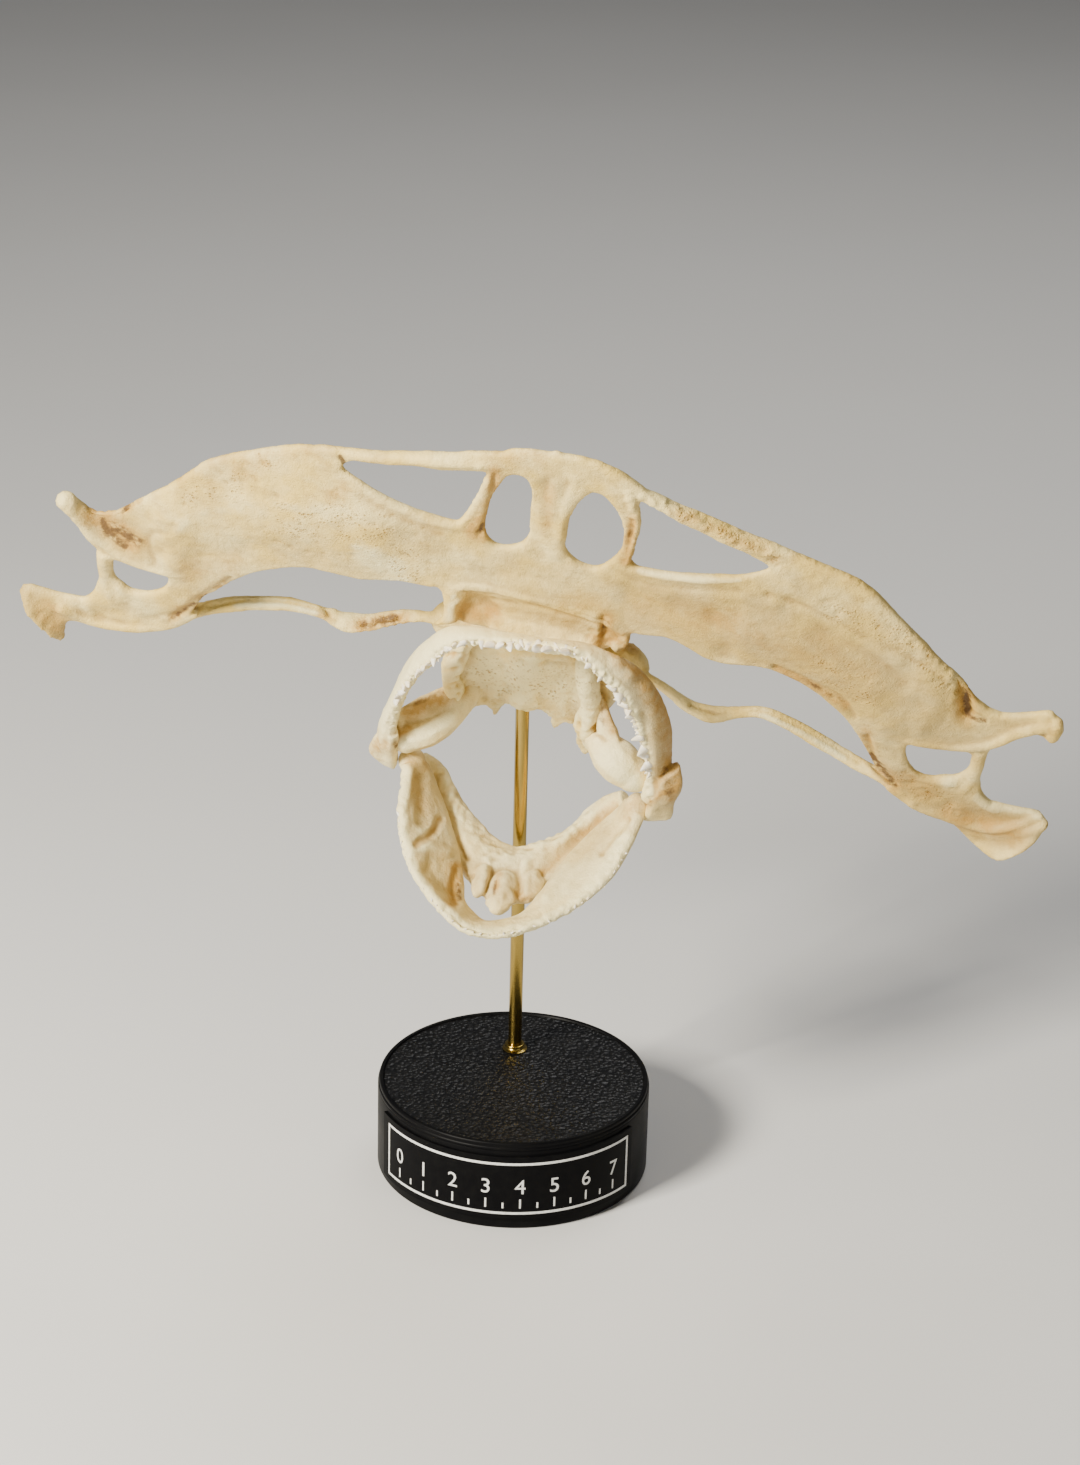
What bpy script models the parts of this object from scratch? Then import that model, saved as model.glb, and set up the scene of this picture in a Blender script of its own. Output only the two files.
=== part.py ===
"""Skull of a hammerhead shark on a museum stand, at life size.

The braincase with its wide winged plate, the open jaws, the tongue arch and the two
jaw supports stand on a brass rod in a round black base. The origin is the middle of
the base's underside, X runs to the right, Y to the back and Z up.

The skull is shaped in its own axes, in millimetres: u to the right across the
wings, v forward along the snout, w out of the underside. An empty then turns it into
its pose, snout up with the underside to the front.
"""
import math

import bmesh
import bpy
import numpy as np
from mathutils import Euler, Matrix, Vector

MM = 0.001
GAP = 0.3

# Stand, in millimetres
BASE_RADIUS = 40.0
BASE_HEIGHT = 28.0
BASE_LIP = 1.0
ROD_RADIUS = 2.0
ROD_BACK = 17.0
ROD_SUNK = 10.0
ROD_TOP = 152.0
COLLAR_RADIUS = 3.7
COLLAR_HEIGHT = 1.8
LABEL_BOTTOM = 3.6
LABEL_TOP = 24.2
LABEL_THICKNESS = 0.6
LABEL_START = math.radians(-66.0)
LABEL_END = math.radians(58.0)

# Pose of the skull on the rod
SKULL_PLACE = (3.59, -23.16, 186.09)
SKULL_TURN = (122.8, 9.1, -8.15)
# Where the viewer's eye is, in the skull's axes; heights on the plate rise towards it
EYE = np.array([67.4, 748.1, 515.1])
SIGHT = 905.0

# How finely the solids are skinned, and how many triangles each keeps
SKIN = 1.1
JAW_SKIN = 0.9
CRANIUM_TRIANGLES = 6600
JAW_TRIANGLES = 1050
HYOID_TRIANGLES = 900
SUPPORT_TRIANGLES = 420

# Winged plate, seen from below, in (u, v)
PLATE_THICKNESS = 2.5
PLATE_INSET = 0.9
LEFT_TIP = [(-95, -38), (-98, -47), (-104, -53), (-112, -58), (-122, -61), (-131, -60), (-134, -62), (-136, -72),
            (-141, -72), (-147, -65), (-149, -56), (-149, -50), (-145, -46), (-138, -47), (-131, -47), (-127, -42),
            (-125, -34), (-124, -24), (-128, -17), (-132, -9), (-136, -4), (-135, 1), (-132, 3), (-128, 0),
            (-124, -3), (-119, -1), (-113, 6)]
FRONT_EDGE = [(-101, 20), (-94, 30), (-86, 37), (-76, 43), (-66, 48), (-56, 49), (-47, 51), (-37, 55), (-27, 59),
              (-17, 63), (-6, 66), (2, 69), (11, 69), (19, 66), (28, 60), (41, 57), (50, 54), (61, 51), (74, 47),
              (85, 43), (97, 31), (108, 19)]
RIGHT_TIP = [(116, 11), (121, 4), (128, 0), (136, 4), (141, 6), (144, -2), (143, -8), (138, -7), (132, -11),
             (129, -19), (128, -26), (129, -34), (131, -41), (135, -44), (142, -43), (147, -43), (150, -48),
             (148, -58), (145, -67), (140, -74), (134, -70), (127, -61), (117, -57), (110, -54), (106, -50)]
BACK_EDGE = [(101, -42), (97, -35), (93, -27), (87, -18), (79, -11), (71, -6), (64, -4), (57, -4), (50, -7), (44, -4),
             (37, -1), (30, -1), (24, -6), (18, -14), (-18, -16), (-24, -12), (-27, -4), (-32, -1), (-38, -3),
             (-46, -6), (-57, -7), (-66, -7), (-76, -12), (-84, -20), (-91, -30)]
WINDOWS = [
    [(-17, 53), (-18, 46), (-20, 35), (-23, 30), (-33, 29), (-43, 32), (-51, 38), (-54, 42), (-50, 46), (-38, 49),
     (-28, 50)],
    [(21, 56), (28, 54), (37, 50), (46, 46), (54, 43), (58, 40), (54, 35), (44, 31), (33, 28), (26, 28), (24, 32),
     (24, 42), (22, 50)],
    [(-8, 55), (-6, 50), (-5, 42), (-5, 34), (-7, 27), (-12, 24), (-15, 28), (-15, 36), (-14, 44), (-11, 53)],
    [(12, 55), (16, 51), (19, 43), (19, 34), (15, 25), (11, 24), (7, 28), (6, 35), (7, 44), (9, 51)],
    [(-119, -25), (-112, -26), (-105, -26), (-106, -32), (-111, -36), (-116, -36), (-119, -31)],
    [(107, -25), (115, -24), (123, -23), (123, -30), (119, -36), (113, -38), (109, -34)],
]

# Rods and rolled rims on the plate: points (u, v, height towards the viewer) and radii
RIMS = [
    ([(-62, 47, 0), (-47, 49, 0.4), (-37, 52, 0.6), (-27, 55, 0.6), (-17, 57.5, 0.3), (-8, 60, -0.6)],
     [1.4, 1.9, 2.1, 2.2, 2.0, 1.2]),
    ([(18, 61, -0.6), (25, 58.5, 0.1), (33, 55, 0.5), (43, 51.5, 0.5), (53, 48, 0.4), (66, 47, 0)],
     [1.2, 1.9, 2.3, 2.5, 2.3, 1.0]),
    ([(-56, 41, 0), (-49, 35, 0.3), (-41, 30.5, 0.6), (-32, 28, 0.9), (-23, 27.5, 1.0)],
     [0.9, 1.3, 1.5, 1.6, 1.4]),
    ([(24, 26, 0.9), (33, 26.5, 0.9), (44, 29.5, 0.6), (54, 34, 0.3), (61, 41, 0)],
     [1.4, 1.5, 1.5, 1.2, 0.8]),
    ([(-14.5, 57, 0.2), (-17, 47, 0.3), (-19.5, 37, 0.3), (-22.5, 28, 0.3)],
     [1.6, 1.4, 1.3, 1.6]),
    ([(20, 60, 0.2), (22, 53, 0.8), (23.2, 45, 1.2), (22.6, 36, 0.8), (22, 26, 0.2)],
     [1.8, 1.6, 1.3, 1.2, 1.5]),
    ([(-133, -1, 2), (-128, -8, 1), (-122, -17, 0.4), (-114, -23, 0.4), (-104, -24.5, 0.4), (-94, -24, 0)],
     [2.7, 2.2, 1.9, 1.7, 1.6, 1.1]),
    ([(-122, -22, 0), (-122, -31, 0), (-121, -40, -0.5), (-119.5, -45, -1.2)],
     [2.5, 2.3, 2.4, 1.8]),
    ([(-96, -42, 0), (-104, -50, 0), (-116, -56, 0.6), (-128, -57, 1), (-137, -55, 3)],
     [1.4, 1.9, 2.2, 2.1, 1.8]),
    ([(100, -22, 0), (108, -23, 0.4), (118, -21, 0.6), (127, -16, 0.8), (134, -7, 1.4), (141, -1, 2)],
     [1.1, 1.6, 1.8, 2.0, 2.2, 2.3]),
    ([(125.5, -20, 0), (126, -29, 0), (125, -38, -0.5), (123.5, -44, -1.2)],
     [2.3, 2.1, 2.2, 1.6]),
    ([(104, -48, 0), (111, -52, 0), (118, -55, 0.3), (126, -57, 0.4)],
     [1.4, 2.0, 2.0, 1.4]),
    ([(-92, -29, 0), (-84, -18.5, 0), (-75, -10.5, 0), (-64, -5.5, 0.2), (-50, -5, 0.3), (-38, -1.5, 0.3), (-29, -1, 0)],
     [1.1, 1.2, 1.3, 1.3, 1.4, 1.4, 1.4]),
    ([(101, -41, 0), (95, -29, 0), (87, -16.5, 0), (77, -8, 0), (64, -2.8, 0.2), (50, -5, 0.3), (37, 0.5, 0.3),
      (27, -1, 0)], [1.1, 1.2, 1.3, 1.3, 1.4, 1.5, 1.4, 1.4]),
    ([(-24, -7, 0), (-22, 0, 1.4), (-13, 2.5, 2.8), (0, 2.4, 3.2), (11, 1.2, 2.8), (19, 0, 2), (24, -2, 1)],
     [1.5, 1.5, 1.4, 1.4, 1.4, 1.5, 1.5]),
    ([(17.2, 1, 0.5), (17.8, -5, 1.5), (15.8, -12, 3)], [1.5, 1.2, 1.6]),
    ([(22.6, 0, 0.5), (24.8, -5.5, 1.5), (22.5, -12, 3)], [1.9, 1.6, 1.9]),
]

# Rounded masses of the skull: middle (u, v, w) and half sizes
MASSES = [
    ((0, 6.5, -2.0), (25, 12, 4.2)),
    ((-33, 11, -1.2), (16, 11, 2.8)),
    ((34, 11, -1.2), (16, 11, 2.8)),
    ((0.5, 42, -0.3), (5.4, 27, 2.3)),
    ((2, 61, -0.3), (17, 6.5, 1.7)),
    ((0, -7, -8), (23, 12, 6)),
    ((0, -34, -17), (21, 29, 12)),
    ((-18, -50, -14), (8, 15, 8)),
    ((17, -50, -14), (8, 15, 8)),
    ((0, -52, -16), (19, 13, 9)),
    ((-1.5, -58, -7.5), (5.5, 4.5, 3.2)),
    ((0, -22, -8), (9, 16, 4)),
    ((-23, -33, -11), (8, 9, 4.5)),
    ((24, -35, -11), (8, 9, 4.5)),
    ((-131.5, -0.5, 1), (3.0, 3.4, 2.4)),
    ((142.5, -1.5, 1), (2.4, 5.6, 2.6)),
]

# Back rim of the braincase's floor with its torn points, in (u, v), at one level
FLOOR_LEVEL = -8.5
FLOOR_THICKNESS = 3.4
FLOOR_EDGE = [(-23, -28), (-24, -50), (-22, -64), (-19.5, -77), (-17, -70), (-12, -66), (-9.2, -70), (-7, -63),
              (-2, -60), (3, -61), (6, -63), (8, -70), (10.5, -65), (14, -66), (15, -74), (18, -79), (21, -72),
              (23, -50), (23, -28)]

# Flat roof of the mouth between the plate's back ridge and the upper jaw: edge on the
# ridge, edge on the jaw and thickness
PALATE = [((-12.5, 1, -4), (-12, -13, 3.0), 2.6), ((0, 1, -3.8), (0, -14, 3.2), 3.0),
          ((10, 0, -3.8), (11, -12, 3.2), 3.0), ((18, -1, -4), (18.5, -12, 3.0), 2.6)]

# Torn walls beside the braincase's floor: points (u, v, w) and radii
LEFT_WALL = ([(-19, -30, -6), (-22, -42, -4), (-22.5, -50, -3.4), (-21.5, -57, -4), (-21.5, -63, -4),
              (-19, -70, -6)], [2.6, 3.4, 2.6, 3.2, 2.4, 1.8])
RIGHT_WALL = ([(14, -24, -4), (16, -34, -2.6), (18, -46, -3), (17.5, -56, -2.8), (20, -64, -3.6), (20, -74, -7)],
              [2.6, 3.4, 3.0, 3.6, 3.4, 2.0])

# Flared feet at the ends of the tips and the pillar at the brow's left end: one edge,
# other edge (u, v, height) and thickness
LEFT_FOOT = [((-127, -47, 0), (-126, -59, 1), 3.0), ((-137, -47.5, 0), (-134.5, -61, 1), 3.0),
             ((-143.5, -46.5, 0), (-136.5, -71, 0), 3.2), ((-147, -47.5, 0), (-143, -67, 0), 3.2),
             ((-148.4, -51, 0), (-147.4, -59, 0), 2.6)]
RIGHT_FOOT = [((119, -45.5, 0), (116, -56, 0), 2.8), ((128, -44.5, 0), (124, -59, 0.4), 3.0),
              ((136, -44, 0), (131.5, -66.5, 0.8), 3.0), ((142.5, -43.4, 0), (139.5, -73.5, 0), 3.0),
              ((147.2, -44, 0), (145.5, -68, 0), 3.0), ((149.8, -48, 0), (148.8, -57, 0), 2.4)]
PILLAR = [((-26.5, -2, -0.6), (-18.5, -0.5, 0), 3.4), ((-25.6, -8.5, 0.4), (-19.6, -8.5, 1.2), 3.8),
          ((-25.6, -15, 1), (-20.6, -14.5, 2.4), 3.8), ((-28, -20, 1.6), (-22.8, -18, 3.4), 3.2)]

# Bars behind the eyes, from the braincase out to the tips: middle (u, v, w), breadth
# across the view, thickness, and turn about their own line in degrees
LEFT_BAR = [((-24, -31, -9), 4.2, 3.4, 0), ((-32, -29.5, -8), 3.8, 2.6, 10), ((-40, -33, -8), 4.6, 2.4, 25),
            ((-48, -39, -8), 6.2, 2.4, 35), ((-55, -41, -8), 6.0, 2.6, 10), ((-62, -39, -8), 3.9, 2.8, -15),
            ((-72, -39, -8), 4.4, 2.8, -10), ((-82, -42, -7.5), 4.6, 2.8, 0), ((-91, -44, -5.5), 4.6, 2.8, 0),
            ((-100, -47, -2.5), 4.4, 2.8, 0), ((-108, -51, -0.5), 4.0, 2.6, 0)]
RIGHT_BAR = [((25, -34, -9), 4.0, 3.4, 0), ((32, -34, -8), 2.6, 2.2, -10), ((38, -38, -8), 3.2, 2.2, -25),
             ((45, -43.5, -8), 4.8, 2.4, -35), ((52, -45, -8), 5.6, 2.4, -10), ((59, -41, -8), 3.8, 2.8, 20),
             ((66, -38.5, -8), 3.9, 2.8, 10), ((76, -42, -8), 4.4, 2.8, 0), ((86, -47, -7.5), 4.3, 2.8, 0),
             ((95, -50, -6), 4.2, 2.8, 0), ((104, -50, -3), 4.2, 2.8, 0), ((112, -54, -0.5), 3.6, 2.6, 0)]

# Ridges and hollows: points (u, v, w) along a line, reach, and height, sunk where negative
RELIEF = [
    ([(-100, 4, 3), (-80, 16, 4), (-60, 21, 4), (-45, 20, 3)], 10.0, 1.0),
    ([(-96, -12, 2), (-78, -1, 3), (-60, 3, 3)], 5.0, -0.5),
    ([(-103, 9, 2), (-99, 2, 2), (-98, -8, 2), (-101, -17, 2)], 6.0, 0.9),
    ([(-117, 0, 1), (-112, -8, 1), (-107, -15, 1)], 5.0, -1.3),
    ([(66, 30, 3), (84, 20, 3), (100, 6, 2)], 4.0, -0.8),
    ([(52, 14, 3), (74, 12, 4), (90, 2, 3), (98, -14, 2)], 8.0, 1.2),
    ([(115, 10, 1), (117, 3, 1), (119, -4, 1)], 3.6, -1.4),
    ([(106, 10, 2), (110, 0, 2), (108, -12, 2)], 5.0, 0.9),
    ([(38, 16, 2), (50, 10, 2), (52, 2, 2)], 5.0, -0.9),
    ([(-2, 56, 3), (-3, 40, 3), (0, 28, 3)], 3.0, -0.7),
    ([(8, 58, 3), (5, 44, 3), (4, 30, 3)], 3.0, 0.5),
    ([(-19, -9, -3), (-15, -9, -3)], 4.0, -1.6),
    ([(-117, -47, 2), (-128, -52, 2)], 6.0, -0.8),
    ([(112, -51, 2), (123, -56.5, 2), (133, -57, 2), (142, -53, 2), (149, -46.5, 2)], 2.6, 1.0),
    ([(127, -61, 2), (136, -64, 2), (144, -59, 2)], 4.5, -0.9),
    ([(128, -51, 2), (138, -49, 2), (145, -47, 2)], 3.0, -0.7),
    ([(-8, -40, -5), (0, -30, -5), (8, -42, -5)], 8.0, -1.2),
    ([(0, -52, -6), (0, -36, -5)], 4.0, 1.0),
]

# Upper jaw: outer edge, tooth edge and thickness, from the left joint to the right one
UPPER_JAW = [((-38, -74, 6), (-36, -66, 13), 6.5), ((-39, -68, 4), (-36, -58, 12.5), 5.0),
             ((-37, -58, 4), (-35, -47, 12), 4.2), ((-35, -47, 4), (-33, -37.5, 12), 4.0),
             ((-33, -36, 4), (-29.5, -28.5, 12), 4.0), ((-29, -24, 4.5), (-25, -19.5, 12), 4.0),
             ((-23.5, -14, 5), (-21, -12, 12), 4.0), ((-17, -10.5, 5), (-16, -9, 11), 3.8),
             ((-8, -9.5, 5), (-8, -7, 11), 3.6), ((2, -9.5, 5), (1, -4.5, 11), 3.4),
             ((11, -7.5, 5), (10.5, -2.5, 11), 3.6), ((19, -7, 5), (15.5, -4.5, 11), 4.0),
             ((26, -10, 4), (20.5, -9, 12), 4.4), ((32, -15, 4), (26, -14.5, 12), 4.6),
             ((37, -23, 4), (30, -22.5, 12), 4.8), ((40.5, -33, 4), (34, -33.5, 12), 4.8),
             ((42, -43, 4), (37, -44, 12), 4.8), ((42.5, -53, 4), (39, -55, 12), 5.0),
             ((43, -64, 5), (39, -66, 13), 6.5)]
UPPER_KNOBS = [((-36.5, -69, 10), (3.2, 5.0, 3.8)), ((42.5, -63, 9), (4.4, 6.0, 4.6))]
UPPER_JOINTS = [[((-37.5, -61, 8), (-34.5, -62, 13), 3.6), ((-41, -70, 9), (-34, -71, 12), 4.4),
                 ((-42, -75.5, 9.5), (-33.8, -77.5, 11), 4.2), ((-38.5, -79.4, 10), (-33.8, -81, 10.5), 3.2)],
                [((46, -50, 7), (41.5, -54, 12), 3.4), ((48, -56.5, 9), (41, -60, 12), 4.6),
                 ((46.8, -64, 9.5), (40, -68, 12), 4.6), ((47.2, -72.8, 10), (38.5, -76, 11), 4.2)]]
UPPER_SEAM = 2.0
UPPER_TEETH = 30
UPPER_TOOTH_HEIGHT = (1.7, 2.9)
UPPER_TOOTH_WIDTH = 3.0

# Lower jaw: tooth rim, inner edge and thickness, from the left joint to the right one
LOWER_JAW = [((-31.5, -75, 13), (-25.5, -80, 8), 5.0), ((-30, -75, 21), (-20, -85, 14), 4.6),
             ((-28.8, -75, 28.5), (-14, -87, 23), 4.4), ((-26, -76, 37), (-9, -87, 33), 4.4),
             ((-21, -77, 45), (-6.3, -87, 40), 4.4), ((-15.3, -77, 50.8), (-4.6, -87, 46), 4.2),
             ((-8.7, -77, 56.2), (0, -87, 50), 4.0), ((-2, -77, 59.6), (3.5, -87, 51), 3.8),
             ((5.5, -77, 59.6), (8, -87, 49), 3.8), ((12.3, -77, 56.8), (12.5, -87, 45.5), 4.0),
             ((19, -77, 52), (15.4, -87, 38.5), 4.2), ((25.2, -77, 46.3), (18, -87, 30), 4.4),
             ((30.8, -76, 39.8), (21, -87, 22), 4.4), ((35, -75, 32.2), (26, -86, 13), 4.6),
             ((37, -74, 24), (31, -83, 7), 4.8), ((38.5, -71, 14), (34, -76, 6), 5.0)]
LOWER_KNOBS = [((-29.5, -77.5, 9.5), (4.0, 3.2, 4.2)), ((36.5, -73, 10), (3.4, 3.2, 4.2))]
LOWER_SEAM = 3.0
LOWER_TEETH = 30
LOWER_TOOTH_HEIGHT = (0.9, 1.7)
LOWER_TOOTH_WIDTH = 1.9

# Tongue arch: edge towards the throat, edge on the lower jaw and thickness
TONGUE_ARCH = [((-27, -82, 3), (-31, -83, 10), 4.2), ((-21.5, -87, 3), (-25, -87, 15), 4.8),
               ((-16, -91, 8), (-19, -88.5, 23), 5.2), ((-11, -92, 13), (-12.5, -89, 30), 5.2),
               ((-5, -93, 17), (-6.2, -89, 36.5), 5.4), ((0, -93, 20), (-0.5, -89, 41), 5.6),
               ((5, -93, 21), (4, -89, 42.5), 5.8), ((10, -93, 18), (9, -89, 41), 5.6),
               ((15, -92, 15), (14.5, -89, 38), 5.4), ((19, -91, 11), (19, -89, 28), 5.2),
               ((22, -90, 5), (25.5, -89, 19), 5.0), ((27, -86, 1), (30, -86, 10), 4.4),
               ((31.5, -81, 1), (34, -80, 7), 3.8)]
TONGUE_LOBES = [((-1.9, -88, 37), (2.5, 2.8, 5.3)), ((4.8, -88, 39.2), (4.4, 3.2, 7.4)),
                ((13, -88, 34.2), (3.4, 2.6, 4.7))]
# Jaw supports from the ear regions to the jaw joints, and the thin flanges above them
LEFT_SUPPORT = [((-17, -60, -8), 3.6), ((-21, -63, 0), 4.2), ((-26, -66, 5), 4.8), ((-32, -69, 7), 4.8)]
RIGHT_SUPPORT = [((18, -60, -8), 3.2), ((22, -60, -1), 4.2), ((28, -59.5, 4.5), 6.4), ((34, -62, 6.5), 5.4)]
LEFT_FLANGE = [((-21.5, -55, -6), (-20, -60, 0), 2.6), ((-27, -56, -2), (-26, -63, 5), 2.6),
               ((-33, -59.5, 2), (-32, -67, 7), 2.8), ((-36, -61, 5), (-34, -69, 9), 2.6)]
RIGHT_FLANGE = [((18.8, -42, -6), (22, -58, 0), 2.6), ((22.6, -45.5, -3), (26, -57, 3), 2.6),
                ((26.6, -51, 0), (30, -58, 4), 2.6)]
# Colours, roughness and metallic value
BONE = ((0.80, 0.70, 0.50), 0.55, 0.0)
TOOTH_BONE = ((0.86, 0.80, 0.66), 0.5, 0.0)
BRASS = ((0.70, 0.50, 0.20), 0.25, 1.0)
BLACK = ((0.012, 0.012, 0.013), 0.4, 0.0)
LABEL_BLACK = ((0.01, 0.01, 0.011), 0.55, 0.0)


def clear_scene():
    """Start from an empty scene."""
    for old in list(bpy.data.objects):
        bpy.data.objects.remove(old, do_unlink=True)


def make_material(name, look):
    colour, roughness, metallic = look
    material = bpy.data.materials.new(name)
    material.use_nodes = True
    shader = material.node_tree.nodes["Principled BSDF"]
    shader.inputs["Base Color"].default_value = (*colour, 1.0)
    shader.inputs["Roughness"].default_value = roughness
    shader.inputs["Metallic"].default_value = metallic
    return material


def add_object(name, mesh, collection):
    made = bpy.data.objects.new(name, mesh)
    collection.objects.link(made)
    return made


def evaluated_mesh(made):
    """A copy of the object's mesh with its modifiers carried out."""
    depsgraph = bpy.context.evaluated_depsgraph_get()
    return bpy.data.meshes.new_from_object(made.evaluated_get(depsgraph))


def bake(made):
    """Carry out the object's modifiers for good."""
    mesh = evaluated_mesh(made)
    made.modifiers.clear()
    made.data = mesh
    return made


def welded(mesh):
    bm = bmesh.new()
    bm.from_mesh(mesh)
    bmesh.ops.remove_doubles(bm, verts=bm.verts, dist=0.01 * MM)
    bmesh.ops.recalc_face_normals(bm, faces=bm.faces)
    bm.to_mesh(mesh)
    bm.free()
    return mesh


def mesh_of_curve(curve):
    """The closed mesh of a curve, whose object is dropped again."""
    shape = add_object(curve.name, curve, bpy.context.scene.collection)
    bpy.context.view_layer.update()
    mesh = evaluated_mesh(shape)
    bpy.data.objects.remove(shape, do_unlink=True)
    return welded(mesh)


def smooth_rows(rows, steps, closed=False):
    """Rows of numbers with a smooth run through them, a number of steps to each stretch."""
    rows = np.array(rows, float)
    if closed:
        padded = np.vstack([rows[-1], rows, rows[0], rows[1]])
    else:
        padded = np.vstack([2 * rows[0] - rows[1], rows, 2 * rows[-1] - rows[-2]])
    run = []
    for before, start, end, after in zip(padded, padded[1:], padded[2:], padded[3:]):
        for t in np.linspace(0.0, 1.0, steps, endpoint=False):
            bend = (2 * before - 5 * start + 4 * end - after) * t * t
            twist = (3 * start - before - 3 * end + after) * t ** 3
            run.append(0.5 * (2 * start + (end - before) * t + bend + twist))
    if not closed:
        run.append(rows[-1])
    return np.array(run)


def towards_viewer(points, heights):
    """Points moved towards the viewer's eye by their heights."""
    way = EYE - points
    way /= np.linalg.norm(way, axis=1, keepdims=True)
    return points + way * np.reshape(heights, (-1, 1))


def plate_height(points):
    """How far the winged plate bulges towards the viewer, from (u, v)."""
    u, v = points[:, 0], points[:, 1]
    across = np.abs(u)
    chord_middle = 22.0 - 0.0032 * across ** 2
    chord = (v - chord_middle) / 30.0
    on_wing = np.clip((across - 24.0) / 20.0, 0.0, 1.0) * np.clip((122.0 - across) / 18.0, 0.0, 1.0)
    bulge = 3.4 * (1.0 - np.clip(chord ** 2, 0.0, 1.6)) * on_wing
    foot = np.clip(across - 132.0, 0.0, 14.0) / 14.0 * np.clip(-44.0 - v, 0.0, 30.0)
    return bulge + 0.3 * foot


def on_plate(rows):
    """Points in the skull's axes for rows of (u, v, height above the plate)."""
    rows = np.array(rows, float)
    flat = np.column_stack([rows[:, 0], rows[:, 1], np.zeros(len(rows))])
    return towards_viewer(flat, plate_height(rows) + rows[:, 2])


def tube_mesh(name, points, radii):
    """A round bar of changing radius."""
    run = smooth_rows(np.column_stack([points, radii]), 4)
    curve = bpy.data.curves.new(name, "CURVE")
    curve.dimensions = "3D"
    curve.bevel_depth = MM
    curve.bevel_resolution = 2
    curve.use_fill_caps = True
    spline = curve.splines.new("POLY")
    spline.points.add(len(run) - 1)
    for point, row in zip(spline.points, run):
        point.co = (*(row[:3] * MM), 1.0)
        point.radius = row[3]
    return mesh_of_curve(curve)


def inset(outline, amount):
    """A closed outline moved inwards, or outwards where the amount is negative."""
    ahead = np.roll(outline, -1, axis=0)
    behind = np.roll(outline, 1, axis=0)
    area = 0.5 * np.sum(outline[:, 0] * ahead[:, 1] - ahead[:, 0] * outline[:, 1])
    run = ahead - behind
    run /= np.linalg.norm(run, axis=1, keepdims=True)
    inward = np.column_stack([-run[:, 1], run[:, 0]]) * np.sign(area)
    return outline + inward * amount


def flat_mesh(name, outlines, thickness, level=0.0):
    """A flat plate from closed outlines, the inner ones as holes."""
    curve = bpy.data.curves.new(name, "CURVE")
    curve.dimensions = "2D"
    curve.fill_mode = "BOTH"
    curve.extrude = 0.5 * thickness * MM
    for outline in outlines:
        spline = curve.splines.new("POLY")
        spline.points.add(len(outline) - 1)
        spline.use_cyclic_u = True
        for point, (u, v) in zip(spline.points, outline):
            point.co = (u * MM, v * MM, 0.0, 1.0)
    mesh = mesh_of_curve(curve)
    mesh.transform(Matrix.Translation((0, 0, level * MM)))
    return mesh


def blade_mesh(name, stations, steps=4, sides=12, fullness=0.75):
    """A loft along two edges: each station is edge, other edge and thickness."""
    run = smooth_rows([(*a, *b, t) for a, b, t in stations], steps)
    middles = 0.5 * (run[:, :3] + run[:, 3:6])
    reaches = 0.5 * (run[:, 3:6] - run[:, :3])
    along = np.gradient(middles, axis=0)
    normals = np.cross(along, reaches)
    normals /= np.linalg.norm(normals, axis=1, keepdims=True)
    bm = bmesh.new()
    rings = []
    for middle, reach, normal, thickness in zip(middles, reaches, normals, run[:, 6]):
        ring = []
        for turn in np.linspace(0.0, 2.0 * math.pi, sides, endpoint=False):
            side = math.copysign(abs(math.cos(turn)) ** fullness, math.cos(turn))
            face = math.copysign(abs(math.sin(turn)) ** fullness, math.sin(turn))
            ring.append(bm.verts.new((middle + reach * side + normal * face * 0.5 * thickness) * MM))
        rings.append(ring)
    for ring, following in zip(rings, rings[1:]):
        for i in range(sides):
            j = (i + 1) % sides
            bm.faces.new((ring[i], ring[j], following[j], following[i]))
    bm.faces.new(rings[0])
    bm.faces.new(rings[-1])
    mesh = bpy.data.meshes.new(name)
    bmesh.ops.recalc_face_normals(bm, faces=bm.faces)
    bm.to_mesh(mesh)
    bm.free()
    return mesh


def strap_mesh(name, stations):
    """A flattened bar: each station is its middle, breadth, thickness and turn."""
    middles = np.array([middle for middle, breadth, thickness, turn in stations], float)
    along = np.gradient(middles, axis=0)
    edges = []
    for (middle, breadth, thickness, turn), run in zip(stations, along):
        middle = Vector(middle)
        sight = (Vector(EYE) - middle).normalized()
        across = Vector(run).normalized().cross(sight).normalized()
        across.rotate(Matrix.Rotation(math.radians(turn), 3, Vector(run).normalized()))
        edges.append((tuple(middle - across * breadth * 0.5), tuple(middle + across * breadth * 0.5), thickness))
    return blade_mesh(name, edges, fullness=0.9)


def lump_mesh(name, middle, sizes):
    """An ellipsoid."""
    bm = bmesh.new()
    place = Matrix.Translation(Vector(middle) * MM) @ Matrix.Diagonal((*(Vector(sizes) * MM), 1.0))
    bmesh.ops.create_uvsphere(bm, u_segments=24, v_segments=16, radius=1.0, matrix=place)
    mesh = bpy.data.meshes.new(name)
    bm.to_mesh(mesh)
    bm.free()
    return mesh


def fuse(name, meshes, skin, rounds, collection):
    """One closed skin round all the meshes, softened."""
    bm = bmesh.new()
    for mesh in meshes:
        bm.from_mesh(mesh)
        bpy.data.meshes.remove(mesh)
    joined = bpy.data.meshes.new(name)
    bm.to_mesh(joined)
    bm.free()
    made = add_object(name, joined, collection)
    remesh = made.modifiers.new("skin", "REMESH")
    remesh.mode = "VOXEL"
    remesh.voxel_size = skin * MM
    soften = made.modifiers.new("soften", "SMOOTH")
    soften.factor = 0.5
    soften.iterations = rounds
    bpy.context.view_layer.update()
    return bake(made)


def positions_of(mesh):
    flat = np.empty(len(mesh.vertices) * 3)
    mesh.vertices.foreach_get("co", flat)
    return flat.reshape(-1, 3) / MM


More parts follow.
